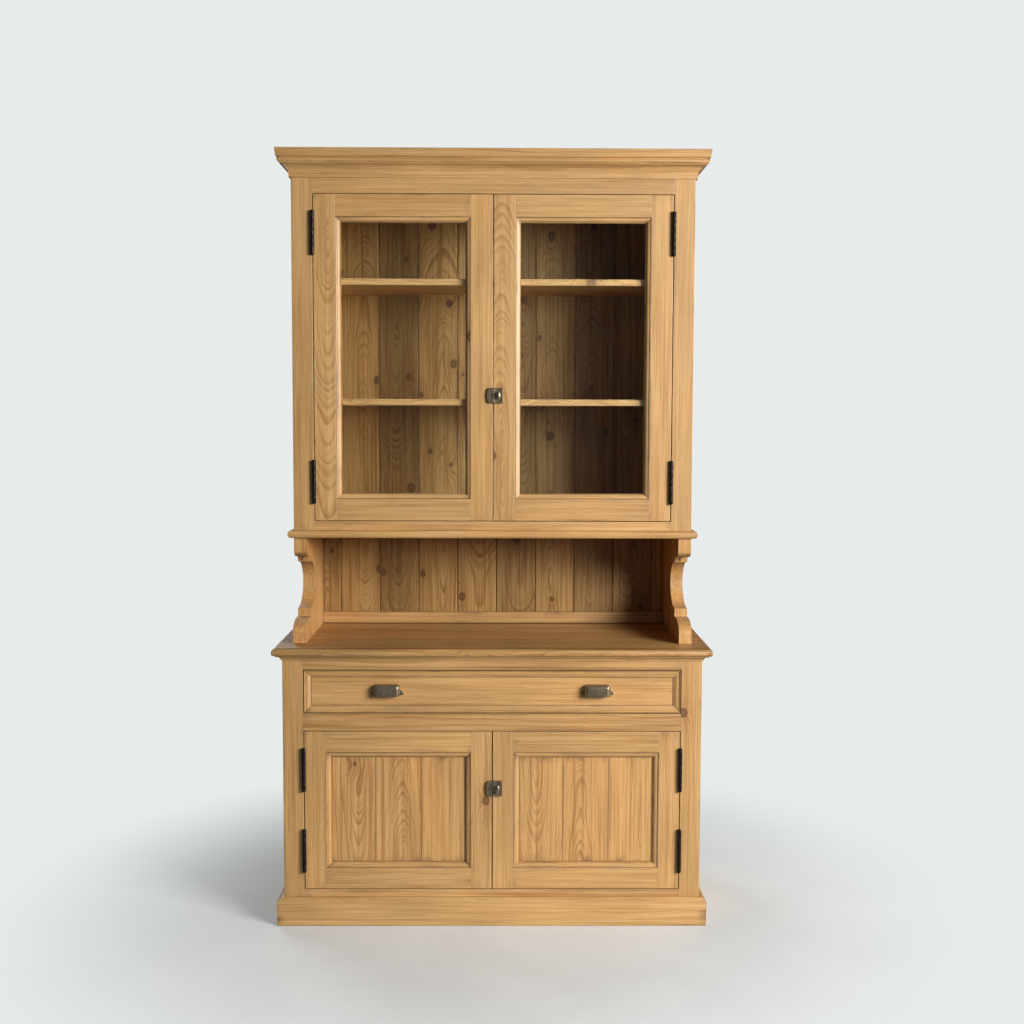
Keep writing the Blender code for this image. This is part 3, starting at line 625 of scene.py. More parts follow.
def makeFaceFrame(row, stile, levels, stileLook, railLook):
    nodeName = row + "_face_frame"
    low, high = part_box(nodeName)
    inner = high.x - stile
    for side, sign in (("left", -1), ("right", 1)):
        xs = sorted((sign * inner, sign * high.x))
        piece = board(f"{row}_stile_{side}", (xs[0], low.y, low.z), (xs[1], high.y, high.z), baseLook["ease"])
        pine(piece, "z", "y", **stileLook)
        place(piece, "root", "pine", nodeName)
    for level, (bottom, top) in levels.items():
        piece = board(f"{row}_rail_{level}", (-inner, low.y, bottom), (inner, high.y, top), baseLook["ease"])
        pine(piece, "x", "y", **railLook)
        place(piece, "root", "pine", nodeName)


def makeBase():
    low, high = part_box("base_face_frame")
    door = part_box("lower_left_door_frame")
    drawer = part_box("drawer_front")
    slack = baseLook["doorGap"]
    levels = {
        "bottom": (low.z, door[0].z - slack),
        "middle": (door[1].z + slack, drawer[0].z - slack),
        "top": (drawer[1].z + slack, high.z),
    }
    railLook = {"grime": 0.6, "streaks": 0.85, "figure": 0.6}
    makeFaceFrame("base", baseLook["stile"], levels, {"tone": 0.02, "grime": 0.55}, railLook)

    for side in ("left", "right"):
        name = "base_side_" + side
        sideLow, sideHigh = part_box(name)
        count = baseLook["sidePlanks"]
        step = (sideHigh.y - sideLow.y) / count
        for i in range(count):
            piece = board(
                f"{name}_plank_{i + 1}",
                (sideLow.x, sideLow.y + i * step, sideLow.z),
                (sideHigh.x, sideLow.y + (i + 1) * step - 0.0002, sideHigh.z),
                0.0005,
            )
            pine(piece, "z", "x", archedPine if i % 2 else plainPine, knots=0.22, grime=0.4, wear=0.15)
            place(piece, "root", "pine", name)

    low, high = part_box("base_back")
    count = baseLook["backBoards"]
    step = (high.x - low.x) / count
    for i in range(count):
        piece = board(
            f"base_back_board_{i + 1}",
            (low.x + i * step, low.y, low.z),
            (low.x + (i + 1) * step - 0.0003, high.y, high.z),
            0.0012,
        )
        pine(piece, "z", "y", archedPine, knots=0.35, grime=0.6, dark=0.25, coat=0.0)
        place(piece, "root", "pine_inside", "base_back")


makeBase()
print("base cupboard made")


# Sticks mitred round the front and both sides. The profile is (projection, height) points.


def wrapSticks(name, half, front, back, profile):
    far = max(p for p, _ in profile) + 0.01
    made = [stick(name + "_front", [(-half - far, front - p, z) for p, z in profile], (2 * (half + far), 0, 0))]
    saw(made[0], (-half, front, 0), (-1, 1, 0))
    saw(made[0], (half, front, 0), (1, 1, 0))
    for side, sign in (("left", -1), ("right", 1)):
        outline = [(sign * (half + p), front - far, z) for p, z in profile]
        made.append(stick(f"{name}_{side}", outline, (0, back - front + far, 0)))
        saw(made[-1], (sign * half, front, 0), (-sign, -1, 0))
    for piece in made:
        smooth(piece)
    return made


def dressRun(pieces, nodeName, **changes):
    for piece, along in zip(pieces, "xyy"):
        face = "y" if along == "x" else "x"
        pine(piece, along, face, wear=0, **changes)
        place(piece, "root", "pine", nodeName)


plinthLook = {"chamfer": 0.010, "round": 0.0015}


def makePlinth():
    low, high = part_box("plinth")
    frameLow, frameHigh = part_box("base_face_frame")
    out = high.x - frameHigh.x
    cut, soft = plinthLook["chamfer"], plinthLook["round"]
    profile = [
        (gap, 0),
        (out - soft, 0),
        (out, soft),
        (out, high.z - cut - soft),
        (out - soft * 0.3, high.z - cut + soft * 0.3),
        (out - cut + soft * 0.3, high.z - soft * 0.3),
        (out - cut - soft, high.z),
        (gap, high.z),
    ]
    dressRun(wrapSticks("plinth", frameHigh.x, frameLow.y, high.y, profile), "plinth", grime=0.8, tone=-0.02)


makePlinth()


# Worktop: one slab with its nosing, sawn into planks, and the moulding beneath

worktopLook = {
    "darkening": (0.16, 0.0, 0.12),  # one for each plank, from the front
    "cornerRound": 0.004,
    "topRound": 0.0098,
    "underRound": 0.004,
    "joint": 0.00025,
    "cove": 0.003,
}
worktopPine = {**plainPine, "tone": -0.12, "red": 0.30, "figure": 0.9, "grime": 0.5, "wear": 0, "knots": 0.04, "coat": 0.12}


def makeWorktop():
    low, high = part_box("worktop")
    slab = block("worktop_slab", low, high)
    near = 0.001

    def free(p):
        return p.y < low.y + near or abs(abs(p.x) - high.x) < near

    def notBack(a, b):
        return (a.y + b.y) / 2 < high.y - near

    pickEdges(slab, lambda a, b: abs(a.z - b.z) > near and a.y < low.y + near)
    bevel(worktopLook["cornerRound"], 3)
    pickEdges(slab, lambda a, b: min(a.z, b.z) > high.z - near / 10 and free(a) and free(b) and notBack(a, b))
    bevel(worktopLook["topRound"], 6)
    pickEdges(slab, lambda a, b: max(a.z, b.z) < low.z + near / 10 and notBack(a, b))
    bevel(worktopLook["underRound"], 3)
    count = len(worktopLook["darkening"])
    step = (high.y - low.y) / count
    for i, darkening in enumerate(worktopLook["darkening"]):
        plank = another(slab, f"worktop_plank_{i + 1}")
        if i:
            saw(plank, (0, low.y + i * step + worktopLook["joint"] / 2, 0), (0, -1, 0))
        if i < count - 1:
            saw(plank, (0, low.y + (i + 1) * step - worktopLook["joint"] / 2, 0), (0, 1, 0))
        smooth(plank)
        pine(plank, "x", "z", worktopPine, streaks=1.0, dark=darkening)
        place(plank, "root", "pine", "worktop")
    bpy.data.objects.remove(slab)

    low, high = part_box("worktop_moulding")
    frameLow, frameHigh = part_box("base_face_frame")
    out = high.x - frameHigh.x
    cove = arc((out, low.z + 0.0005), (out - worktopLook["cove"], 0.0115), 180, 90, 8)
    profile = [(gap, low.z), *cove, (out, high.z), (gap, high.z)]
    pieces = wrapSticks("worktop_moulding", frameHigh.x, frameLow.y, high.y, profile)
    dressRun(pieces, "worktop_moulding", grime=0.4, tone=-0.03)


makeWorktop()
print("plinth and worktop made")


# Hutch: scrolled sides, ledge, face frame, shelves, back boards, skirting and cornice

hutchLook = {
    "stile": 0.058,
    "foot": 0.035,  # how far the foot of the scroll stands before the face
    "fillet": 0.065,  # how far the fillets stand behind the face
    "glue": 0.20,  # from the back to the joint in each side
    "shelfRound": 0.002,
}

# The front edge of each side, from the ledge down: a cove, a fillet, a deep hollow, a fillet set forward and a second
# cove. A centre is a height and radii are (depth, height).
scrollLook = {
    "upperCentre": 1.042,
    "upperCove": (0.054, 0.020),
    "hollowCentre": 0.938,
    "hollow": (0.094, 0.067),
    "hollowBack": 0.005,
    "forward": 0.002,
    "lowerCentre": 0.813,
    "lowerCove": (0.068, 0.035),
    "toe": 0.0015,
    "plugs": (("upper", 1.0135, 0.0005), ("lower", 0.8600, 0.0025)),
    "plugRadius": 0.0042,
    "plugDepth": 0.006,
}


def makeSides():
    frameLow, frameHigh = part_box("hutch_face_frame")
    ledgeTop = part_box("hutch_ledge")[1].z
    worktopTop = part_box("worktop")[1].z
    front = frameLow.y
    behind = frameHigh.y + gap
    fillet = front + hutchLook["fillet"]
    foot = front - hutchLook["foot"]
    scroll = scrollLook
    upper, hollow, lower = scroll["upperCove"], scroll["hollow"], scroll["lowerCove"]
    for side in ("left", "right"):
        name = "hutch_side_" + side
        low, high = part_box(name)
        outline = [
            (high.y, low.z),
            (high.y, high.z),
            (behind, high.z),
            (behind, ledgeTop),
            (front, ledgeTop),
            *arc((front + upper[0], scroll["upperCentre"]), upper, 180, 270, 10),
            (fillet, scroll["upperCentre"] - upper[1]),
            *arc((fillet + scroll["hollowBack"], scroll["hollowCentre"]), hollow, 90, -90, 28),
            (fillet - scroll["forward"], scroll["hollowCentre"] - hollow[1]),
            (fillet - scroll["forward"], scroll["lowerCentre"] + lower[1]),
            *arc((foot + lower[0], scroll["lowerCentre"]), lower, 90, 180, 10),
            (foot, worktopTop + scroll["toe"]),
            (foot + scroll["toe"], low.z),
        ]
        slab = stick(name + "_slab", [(low.x, y, z) for y, z in outline], (high.x - low.x, 0, 0))
        for part, sign in (("front", 1), ("back", -1)):
            plank = another(slab, f"{name}_{part}_plank")
            saw(plank, (0, high.y - hutchLook["glue"] - 0.0001 * sign, 0), (0, sign, 0))
            openMesh(plank)
            bpy.ops.mesh.dissolve_limited(angle_limit=math.radians(1))
            closeMesh()
            smooth(plank, 30)
            pine(plank, "z", "x", knots=0.2, tone=-0.03, grime=0.45, wear=0, red=0.3)
            place(plank, "root", "pine", name)
        bpy.data.objects.remove(slab)
        # wooden plugs over the screws in the two fillets
        for level, z, proud in scroll["plugs"]:
            centre = ((low.x + high.x) / 2, fillet - proud + 0.0025, z)
            plug = rod(f"{name}_{level}_plug", centre, scroll["plugRadius"], scroll["plugDepth"], "y", 24, 0)
            easeEdges(plug, 0.0004, 1)
            pine(plug, "x", "y", ring=0.0016, figure=0.9, tone=-0.12, wear=0)
            place(plug, "root", "pine")


def makeLedge():
    low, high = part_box("hutch_ledge")
    frameLow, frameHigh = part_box("hutch_face_frame")
    out = high.x - frameHigh.x
    middle, half = (low.z + high.z) / 2, (high.z - low.z) / 2
    profile = [(gap, low.z), *arc((out / 2, middle), (out / 2, half), -90, 90, 12), (gap, high.z)]
    dressRun(wrapSticks("hutch_ledge", frameHigh.x, frameLow.y, high.y, profile), "hutch_ledge", grime=0.3, tone=0.03)


corniceLook = {
    "foot": 0.005,
    "neck": 0.028,
    "cove": (0.023, 0.027),
    "coveStart": 0.008,
    "bead": (0.0055, 0.0055),
    "beadCentre": 0.0435,
    "cap": 0.052,
    "capFoot": 0.0355,
    "capTop": 0.0388,
}


def makeCornice():
    look = corniceLook
    low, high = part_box("cornice")
    frameLow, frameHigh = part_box("hutch_face_frame")
    bottom = low.z
    profile = [
        (gap, bottom),
        (look["foot"], bottom),
        *arc((look["neck"], bottom + look["coveStart"]), look["cove"], 180, 95, 10),
        *arc((look["neck"], bottom + look["beadCentre"]), look["bead"], -90, 90, 10),
        (look["neck"], bottom + look["cap"]),
        (look["capFoot"], bottom + look["cap"]),
        (look["capFoot"] + 0.0007, bottom + look["cap"] + 0.0008),
        (look["capTop"], high.z - 0.0006),
        (look["capTop"] - 0.0006, high.z),
        (gap, high.z),
    ]
    pieces = wrapSticks("cornice", frameHigh.x, frameLow.y, high.y, profile)
    dressRun(pieces, "cornice", grime=0.5, tone=-0.04, figure=0.6)


def makeHutchFrame():
    low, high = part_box("hutch_face_frame")
    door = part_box("upper_left_door_frame")
    slack = baseLook["doorGap"]
    levels = {"bottom": (low.z, door[0].z - slack), "top": (door[1].z + slack, high.z)}
    makeFaceFrame("hutch", hutchLook["stile"], levels, {"tone": 0.03}, {})


def makeShelves():
    for name in ("shelf_lower", "shelf_upper"):
        low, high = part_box(name)
        middle = (low.y + high.y) / 2
        for part, y0, y1 in (("front", low.y, middle - 0.0002), ("back", middle + 0.0002, high.y)):
            piece = board(f"{name}_{part}", (low.x, y0, low.z), (high.x, y1, high.z), hutchLook["shelfRound"])
            # the shelves are a little darker all over, partly painted shade of the hutch's inside
            pine(piece, "x", "z", archedPine, knots=0.35, wear=0.3, tone=-0.05, dark=0.10)
            place(piece, "root", "pine_back", name)
    low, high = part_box("back_skirting")
    piece = board("back_skirting_strip", (low.x, low.y, low.z + 0.0018), high, 0.0012)
    pine(piece, "x", "y", tone=-0.05, red=0.2, dark=0.12, grime=0.8)
    place(piece, "root", "pine", "back_skirting")


boardLook = {
    "shade": 0.18,  # how far the boards differ in tone
    "pitch": 0.120,
    "firstJoint": 0.0085,
    "joints": 9,
    "chamfer": 0.0024,
    "gap": 0.0007,
    "tongue": 0.006,
    "tongueFrom": 0.42,  # shares of the thickness, from the front
    "tongueTo": 0.66,
    "round": 0.0006,
}
boardPine = {
    **archedPine,
    "knots": 0.80,
    # the boards are darker all over, partly their own colour and partly painted shade of the hutch's inside, and
    # their edges take painted shade
    "dark": 0.54,
    "figure": 1.0,
    "grime": 1.0,
    "wear": 1.0,
    "red": 0.1,
    "streaks": 1.0,
    "coat": 0.1,
}


def makeBackBoards():
    low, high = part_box("hutch_back_boards")
    pitch = boardLook["pitch"]
    first = math.ceil((low.x - boardLook["firstJoint"]) / pitch)
    joints = [boardLook["firstJoint"] + i * pitch for i in range(first, first + boardLook["joints"])]
    edges = [low.x, *joints, high.x]
    ease, air, tongue = boardLook["chamfer"], boardLook["gap"] / 2, boardLook["tongue"]
    thick = high.y - low.y
    tongueFront, tongueBack = (low.y + thick * boardLook[key] for key in ("tongueFrom", "tongueTo"))
    play = thick * 0.04
    soft = boardLook["round"]
    for i, (left, right) in enumerate(zip(edges, edges[1:])):
        start = left + (air if i else 0)
        end = right - (air if i < len(edges) - 2 else 0)
        outline = [(start + ease, low.y), (end - ease, low.y), (end, low.y + ease)]
        if i < len(edges) - 2:  # a tongue on the right side
            outline += [(x, tongueFront) for x in (end, end + tongue)]
            outline += [(x, tongueBack) for x in (end + tongue, end)]
        outline += [(end, high.y - soft), (end - soft, high.y), (start + soft, high.y), (start, high.y - soft)]
        if i:  # and a groove in the left one
            floor = start + tongue + 0.001
            outline += [(x, tongueBack + play) for x in (start, floor)]
            outline += [(x, tongueFront - play) for x in (floor, start)]
        outline.append((start, low.y + ease))
        piece = stick(f"hutch_back_board_{i + 1}", [(x, y, low.z) for x, y in outline], (0, 0, high.z - low.z))
        pine(piece, "z", "y", boardPine, tone=boardLook["shade"] * math.sin(2.3 * i))
        place(piece, "root", "pine_back", "hutch_back_boards")


makeSides()
makeLedge()
makeHutchFrame()
makeShelves()
makeBackBoards()
makeCornice()
print("hutch made")


# Doors and drawer

doorLook = {
    "upper": {"stile": 0.061, "mould": 0.015, "shift": 0.5021},
    "lower": {"stile": 0.058, "mould": 0.017, "shift": 0.5241},
    "infillFront": 0.012,
    "depth": 0.0105,
    "quirk": 0.002,
    "step": 0.0008,
    "panelPlanks": 3,
    "nose": ((0.0012, 0.0002), (0.0022, 0.0008)),  # in from the moulding's outer line, and depth
    "quirkIn": 0.0026,
    "beadBack": 0.0004,
    "beadRound": 0.0012,
}
# the panels take grime and painted shade along their edges
panelPine = {"tone": 0.08, "wear": 0, "knots": 0.04, "red": 0.30, "streaks": 0.8, "grime": 0.9}


# Four sticks mitred round a rectangle (left, bottom, right, top). The profile is (distance outward, depth) points.
def frameSticks(name, sight, profile):
    left, bottom, right, top = sight
    far = max(p for p, _ in profile) + 0.01
    height, width = top - bottom + 2 * far, right - left + 2 * far
    made = {}
    for side, x, sign in (("left", left, -1), ("right", right, 1)):
        piece = stick(f"{name}_{side}", [(x + sign * p, y, bottom - far) for p, y in profile], (0, 0, height))
        saw(piece, (x, 0, bottom), (-sign, 0, -1))
        saw(piece, (x, 0, top), (-sign, 0, 1))
        made[side] = piece
    for side, z, sign in (("bottom", bottom, -1), ("top", top, 1)):
        piece = stick(f"{name}_{side}", [(left - far, y, z + sign * p) for p, y in profile], (width, 0, 0))
        saw(piece, (left, 0, z), (-1, 0, -sign))
        saw(piece, (right, 0, z), (1, 0, -sign))
        made[side] = piece
    for piece in made.values():
        smooth(piece)
    return made


def makeDoorPieces(row):  # every wooden piece of the left-hand door, by the last part of its name
    look = doorLook[row]
    low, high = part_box(f"{row}_left_door_frame")
    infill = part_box(f"{row}_left_" + ("glass" if row == "upper" else "panel"))
    stile, mould = look["stile"], look["mould"]
    prefix = f"{row}_left_door_"
    made = {}
    for side, x0, x1 in (("left", low.x, low.x + stile), ("right", high.x - stile, high.x)):
        made["stile_" + side] = board(prefix + "stile_" + side, (x0, low.y, low.z), (x1, high.y, high.z), 0.0010)
    for level, z0, z1 in (("bottom", low.z, low.z + stile), ("top", high.z - stile, high.z)):
        made["rail_" + level] = board(
            prefix + "rail_" + level, (low.x + stile, low.y, z0), (high.x - stile, high.y, z1), 0.0008
        )
    sight = (low.x + stile + mould, low.z + stile + mould, high.x - stile - mould, high.z - stile - mould)
    face = low.y
    inner = mould - doorLook["step"]
    depth = face + doorLook["depth"]
    curve = arc((inner, depth), (0.8 * mould, doorLook["depth"] - doorLook["quirk"]), -90, -180, 9)
    outer = mould - 0.0002
    back = face + doorLook["infillFront"] - gap
    profile = [
        (outer, back),
        (outer, face + 0.0006),
        *((mould - x, face + y) for x, y in doorLook["nose"]),
        (mould - doorLook["quirkIn"], face + doorLook["quirk"]),
        *curve[1:],
        (0, depth),
        (0, back),
    ]
    for side, piece in frameSticks(prefix + "mould", sight, profile).items():
        made["mould_" + side] = piece
    soft, rear = doorLook["beadRound"], high.y - doorLook["beadBack"]
    start = infill[1].y + gap
    bead = [(outer, rear), (outer, start), (0, start), (0, high.y - soft), (soft, rear)]
    for side, piece in frameSticks(prefix + "bead", sight, bead).items():
        made["bead_" + side] = piece
    if row == "lower":
        count = doorLook["panelPlanks"]
        step = (infill[1].x - infill[0].x) / count
        for i in range(count):
            made[f"panel_{i + 1}"] = board(
                prefix + f"panel_{i + 1}",
                (infill[0].x + i * step + 0.00005, infill[0].y, infill[0].z),
                (infill[0].x + (i + 1) * step - 0.00005, infill[1].y, infill[1].z),
                0.0002,
            )
    return made


def dressDoorPiece(piece, kind, row, side):
    body = f"{row}_{side}_door"
    if kind.startswith("panel"):
        look, figure = (plainPine, 0.6) if kind == "panel_3" else (archedPine, 0.9)
        pine(piece, "z", "y", look, figure=figure, **panelPine)
        place(piece, body, "pine", f"{row}_{side}_panel")
        return
    along = "x" if kind.endswith(("bottom", "top")) else "z"
    wear = 0.35 if kind.startswith(("stile", "rail")) else 0
    look = archedPine if kind == "stile_left" and row == "upper" else plainPine
    # mouldings take the most grime and painted shade along their edges
    tone, grime = (0.05, 1.0) if kind.startswith("mould") else (0.03, 0.45)
    pine(piece, along, "y", look, wear=wear, tone=tone, knots=0.08, grime=grime)
    place(piece, body, "pine", f"{row}_{side}_door_frame")


for row in ("upper", "lower"):
    leftPieces = makeDoorPieces(row)
    shift = (doorLook[row]["shift"], 0, 0)
    rightPieces = {
        kind: another(piece, piece.name.replace("_left_door_", "_right_door_", 1), shift)
        for kind, piece in leftPieces.items()
    }
    for side, pieces in (("left", leftPieces), ("right", rightPieces)):
        for kind, piece in pieces.items():
            dressDoorPiece(piece, kind, row, side)
for side in ("left", "right"):
    dress(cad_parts[f"upper_{side}_glass"], glassPane)
print("doors made")


drawerLook = {
    "rim": 0.003,
    "mould": 0.018,
    "field": 0.009,
    "moulding": (  # (distance outward, depth)
        (0.0186, 0),
        (0.0180, 0.0005),
        (0.0174, 0.0022),
        (0.0160, 0.0024),
        (0.0140, 0.0022),
        (0.0110, 0.0029),
        (0.0080, 0.0042),
        (0.0052, 0.0058),
        (0.0030, 0.0068),
        (0.0018, 0.0070),
        (0.0016, 0.0084),
        (0, 0.0086),
    ),
}


def makeDrawer():
    low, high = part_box("drawer_front")
    field = low.y + drawerLook["field"]
    piece = board("drawer_front_board", (low.x, field, low.z), high, 0.0008)
    pine(piece, "x", "y", figure=0.5, knots=0.05, tone=0.02)
    place(piece, "drawer", "pine", "drawer_front")
    total = drawerLook["rim"] + drawerLook["mould"]
    sight = (low.x + total, low.z + total, high.x - total, high.z - total)
    face = low.y
    profile = [
        (total, field),
        (total, face + 0.0006),
        (total - 0.0006, face),
        *((x, face + y) for x, y in drawerLook["moulding"]),
        (0, field),
    ]
    for side, piece in frameSticks("drawer_mould", sight, profile).items():
        # the drawer's moulding takes dirt and painted shade along its edges
        pine(piece, "x" if side in ("bottom", "top") else "z", "y", wear=0, tone=0.03, grime=1.0)
        place(piece, "drawer", "pine", "drawer_front")
    for name, along, facing in (
        ("drawer_side_left", "y", "x"),
        ("drawer_side_right", "y", "x"),
        ("drawer_back", "x", "y"),
        ("drawer_bottom", "x", "z"),
    ):
        low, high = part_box(name)
        piece = board(name + "_board", low, high, 0.0008)
        pine(piece, along, facing, archedPine, figure=0.6, tone=0.05, knots=0.12, coat=0, bump=0.6)
        place(piece, "drawer", "pine_inside", name)


makeDrawer()


# Boards that stay as packed, with their finish only
for name, along, facing in (
    ("base_bottom", "x", "z"),
    ("hutch_bottom", "x", "z"),
    ("hutch_top", "x", "z"),
    ("drawer_runner_left", "y", "x"),
    ("drawer_runner_right", "y", "x"),
):
    pine(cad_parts[name], along, facing, archedPine, figure=0.6, knots=0.12, coat=0, grime=0.6, wear=0)
print("drawer and inner boards made")


# Hardware

hingeLook = {"radius": 0.0055, "knuckles": 5, "length": 0.120, "stand": 0.0059, "leaf": 0.018}


def makeHingeLeaf(kind):  # round the world's Z axis, for a left-hand door
    sign = -1 if kind == "frame" else 1
    count, length = hingeLook["knuckles"], hingeLook["length"]
    pitch = length / count
    xs = sorted((sign * 0.0002, sign * 0.0009))
    back = hingeLook["stand"] + hingeLook["leaf"]
    parts = [board("leaf", (xs[0], 0.0062, -length / 2), (xs[1], back, length / 2), 0.0002)]
    for i in range(0 if kind == "frame" else 1, count, 2):
        low = -length / 2 + i * pitch + gap
        parts.append(rod("knuckle", (0, 0, low + pitch / 2 - gap), hingeLook["radius"], pitch - 2 * gap))
        parts.append(block("tab", (xs[0], 0.001, low), (xs[1], 0.0079, low + pitch - 2 * gap)))
    if kind == "frame":
        for end in (-1, 1):
            parts.append(rod("tip", (0, 0, end * (length / 2 + 0.0008)), 0.0040, 0.0024, ease=0.0008))
    piece = joined("hinge_" + kind, *parts)
    smooth(piece, 30)
    return piece


def makeHinges():
    patterns = {kind: makeHingeLeaf(kind) for kind in ("frame", "door")}
    for row in ("upper", "lower"):
        for side in ("left", "right"):
            for level in ("bottom", "top"):
                for kind, pattern in patterns.items():
                    nodeName = f"{row}_{side}_{level}_hinge_{kind}_leaf"
                    low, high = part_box(nodeName)
                    centre = Vector(((low.x + high.x) / 2, low.y + hingeLook["radius"], (low.z + high.z) / 2))
                    piece = another(pattern, f"{row}_{side}_{level}_hinge_{kind}")
                    if side == "right":
                        turned(piece, "Y", 180, (0, 0, 0))
                    piece.location = centre
                    settle(piece)
                    dress(piece, ironMetal)
                    place(piece, "root" if kind == "frame" else f"{row}_{side}_door", "iron", nodeName)
    for pattern in patterns.values():
        bpy.data.objects.remove(pattern)


def carve(piece, low, high):  # cuts a box out of a piece
    cutter = block("cutter", low, high)
    grab(piece)
    change = piece.modifiers.new("carve", "BOOLEAN")
    change.object = cutter
    change.solver = "EXACT"
    bpy.ops.object.modifier_apply(modifier="carve")
    bpy.data.objects.remove(cutter)


def makeScrew(radius=0.0026):  # faces the front, its slot upright, at the world's middle
    head = rod("screw", (0, 0, 0), radius, 0.0016, "y", 20, 0.0005)
    carve(head, (-0.0003, -0.01, -0.01), (0.0003, -0.0003, 0.01))
    smooth(head, 30)
    return head


latchLook = {
    "play": 0.0004,  # round the tongue
    "rim": 0.0030,
    "keeperRim": 0.0028,
    "sink": 0.0012,  # how deep the field lies within the rim
    "keeperRound": 0.009,
    "ball": (0.0055, 0.0045, 0.0125),
    "neck": 0.0029,
    "rose": 0.0062,
    "screwIn": 0.0052,
    "screw": 0.0019,
}


def sinkFace(piece, rim):
    pickFaces(piece, lambda c, n: n.y < -0.9)
    bpy.ops.mesh.inset(thickness=rim)
    bpy.ops.mesh.extrude_region_move(TRANSFORM_OT_translate={"value": (0, latchLook["sink"], 0)})
    closeMesh()


def fitMetal(piece, body, *nodes, angle=30):
    smooth(piece, angle)
    dress(piece, brassMetal)
    place(piece, body, "bronze", *nodes)


def makeLatches():
    look, play = latchLook, latchLook["play"]
    screw = makeScrew(look["screw"])
    for row in ("upper", "lower"):
        caseLow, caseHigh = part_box(row + "_latch_case")
        keepLow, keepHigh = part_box(row + "_latch_keeper")
        tongueLow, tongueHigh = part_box(row + "_latch_tongue")
        knobLow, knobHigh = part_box(row + "_latch_knob")
        middle = (caseLow.z + caseHigh.z) / 2
        knobX = (knobLow.x + knobHigh.x) / 2

        case = block(row + "_latch_box", caseLow, caseHigh)
        sinkFace(case, look["rim"])
        easeEdges(case, 0.0007, 2)
        front, back, bottom = tongueLow.y - play, tongueHigh.y + play, tongueLow.z - play
        chamber = (tongueHigh.x + play, back, tongueHigh.z + play + 0.0003)
        carve(case, (caseLow.x + 0.001, front, bottom), chamber)
        carve(case, (caseLow.x - 0.001, front, bottom), (caseLow.x + 0.002, back, middle + 0.015))
        fitMetal(case, row + "_right_door", row + "_latch_case")

        straight = keepHigh.x - look["keeperRound"]
        bow = arc((straight, middle), (straight - keepLow.x, (keepHigh.z - keepLow.z) / 2), 90, 270, 20)
        outline = [(keepHigh.x, keepHigh.z), *bow, (keepHigh.x, keepLow.z)]
        points = [(x, keepHigh.y, z) for x, z in outline]
        keeper = stick(row + "_latch_strike", points, (0, keepLow.y - keepHigh.y, 0))
        sinkFace(keeper, look["keeperRim"])
        carve(keeper, (straight, front, bottom), (keepHigh.x + 0.01, back, middle + 0.013))
        fitMetal(keeper, row + "_left_door", row + "_latch_keeper")

        letGo()
        ballY = knobLow.y + look["ball"][1]
        spot = (knobX, ballY, middle)
        bpy.ops.mesh.primitive_uv_sphere_add(segments=32, ring_count=20, location=spot, scale=look["ball"])
        ball = named("ball")
        settle(ball)
        neckPlace = (knobX, (ballY + knobHigh.y) / 2, middle)
        neck = rod("neck", neckPlace, look["neck"], knobHigh.y - ballY, "y", 24, 0)
        knob = joined(row + "_latch_handle", ball, neck)
        fitMetal(knob, row + "_latch_knob", row + "_latch_knob", angle=40)

        rosePlace = (knobX, caseLow.y + 0.0006, middle)
        rose = rod(row + "_latch_rose", rosePlace, look["rose"], 0.0014, "y", 32, 0.0004)
        fitMetal(rose, row + "_right_door")
        dress(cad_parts[row + "_latch_tongue"], brassMetal)

        inset = look["screwIn"]
        across, levels = ((a + inset, b - inset) for a, b in ((caseLow.x, caseHigh.x), (caseLow.z, caseHigh.z)))
        spots = [(x, caseLow.y + 0.0010, z) for x in across for z in levels]
        for i, spot in enumerate(spots):
            piece = another(screw, f"{row}_latch_screw_{i + 1}", spot)
            turned(piece, "Y", dice.uniform(-80, 80), spot)
            dress(piece, brassMetal)
            place(piece, row + "_right_door", "bronze")
    bpy.data.objects.remove(screw)


pullLook = {
    "width": 0.072,
    "reach": 0.024,
    "height": 0.032,
    "wall": 0.0015,
    "corner": 0.011,
    "crown": 0.0095,
    "earRoot": ((0, 0), (0, 0.0165), (0.004, 0.0135)),  # (outward, height) from the cup's side
    "earTip": ((0.003, 0.0080), (0, 0.0050), (0.003, 0.0010)),  # (inward, height) from the end
}


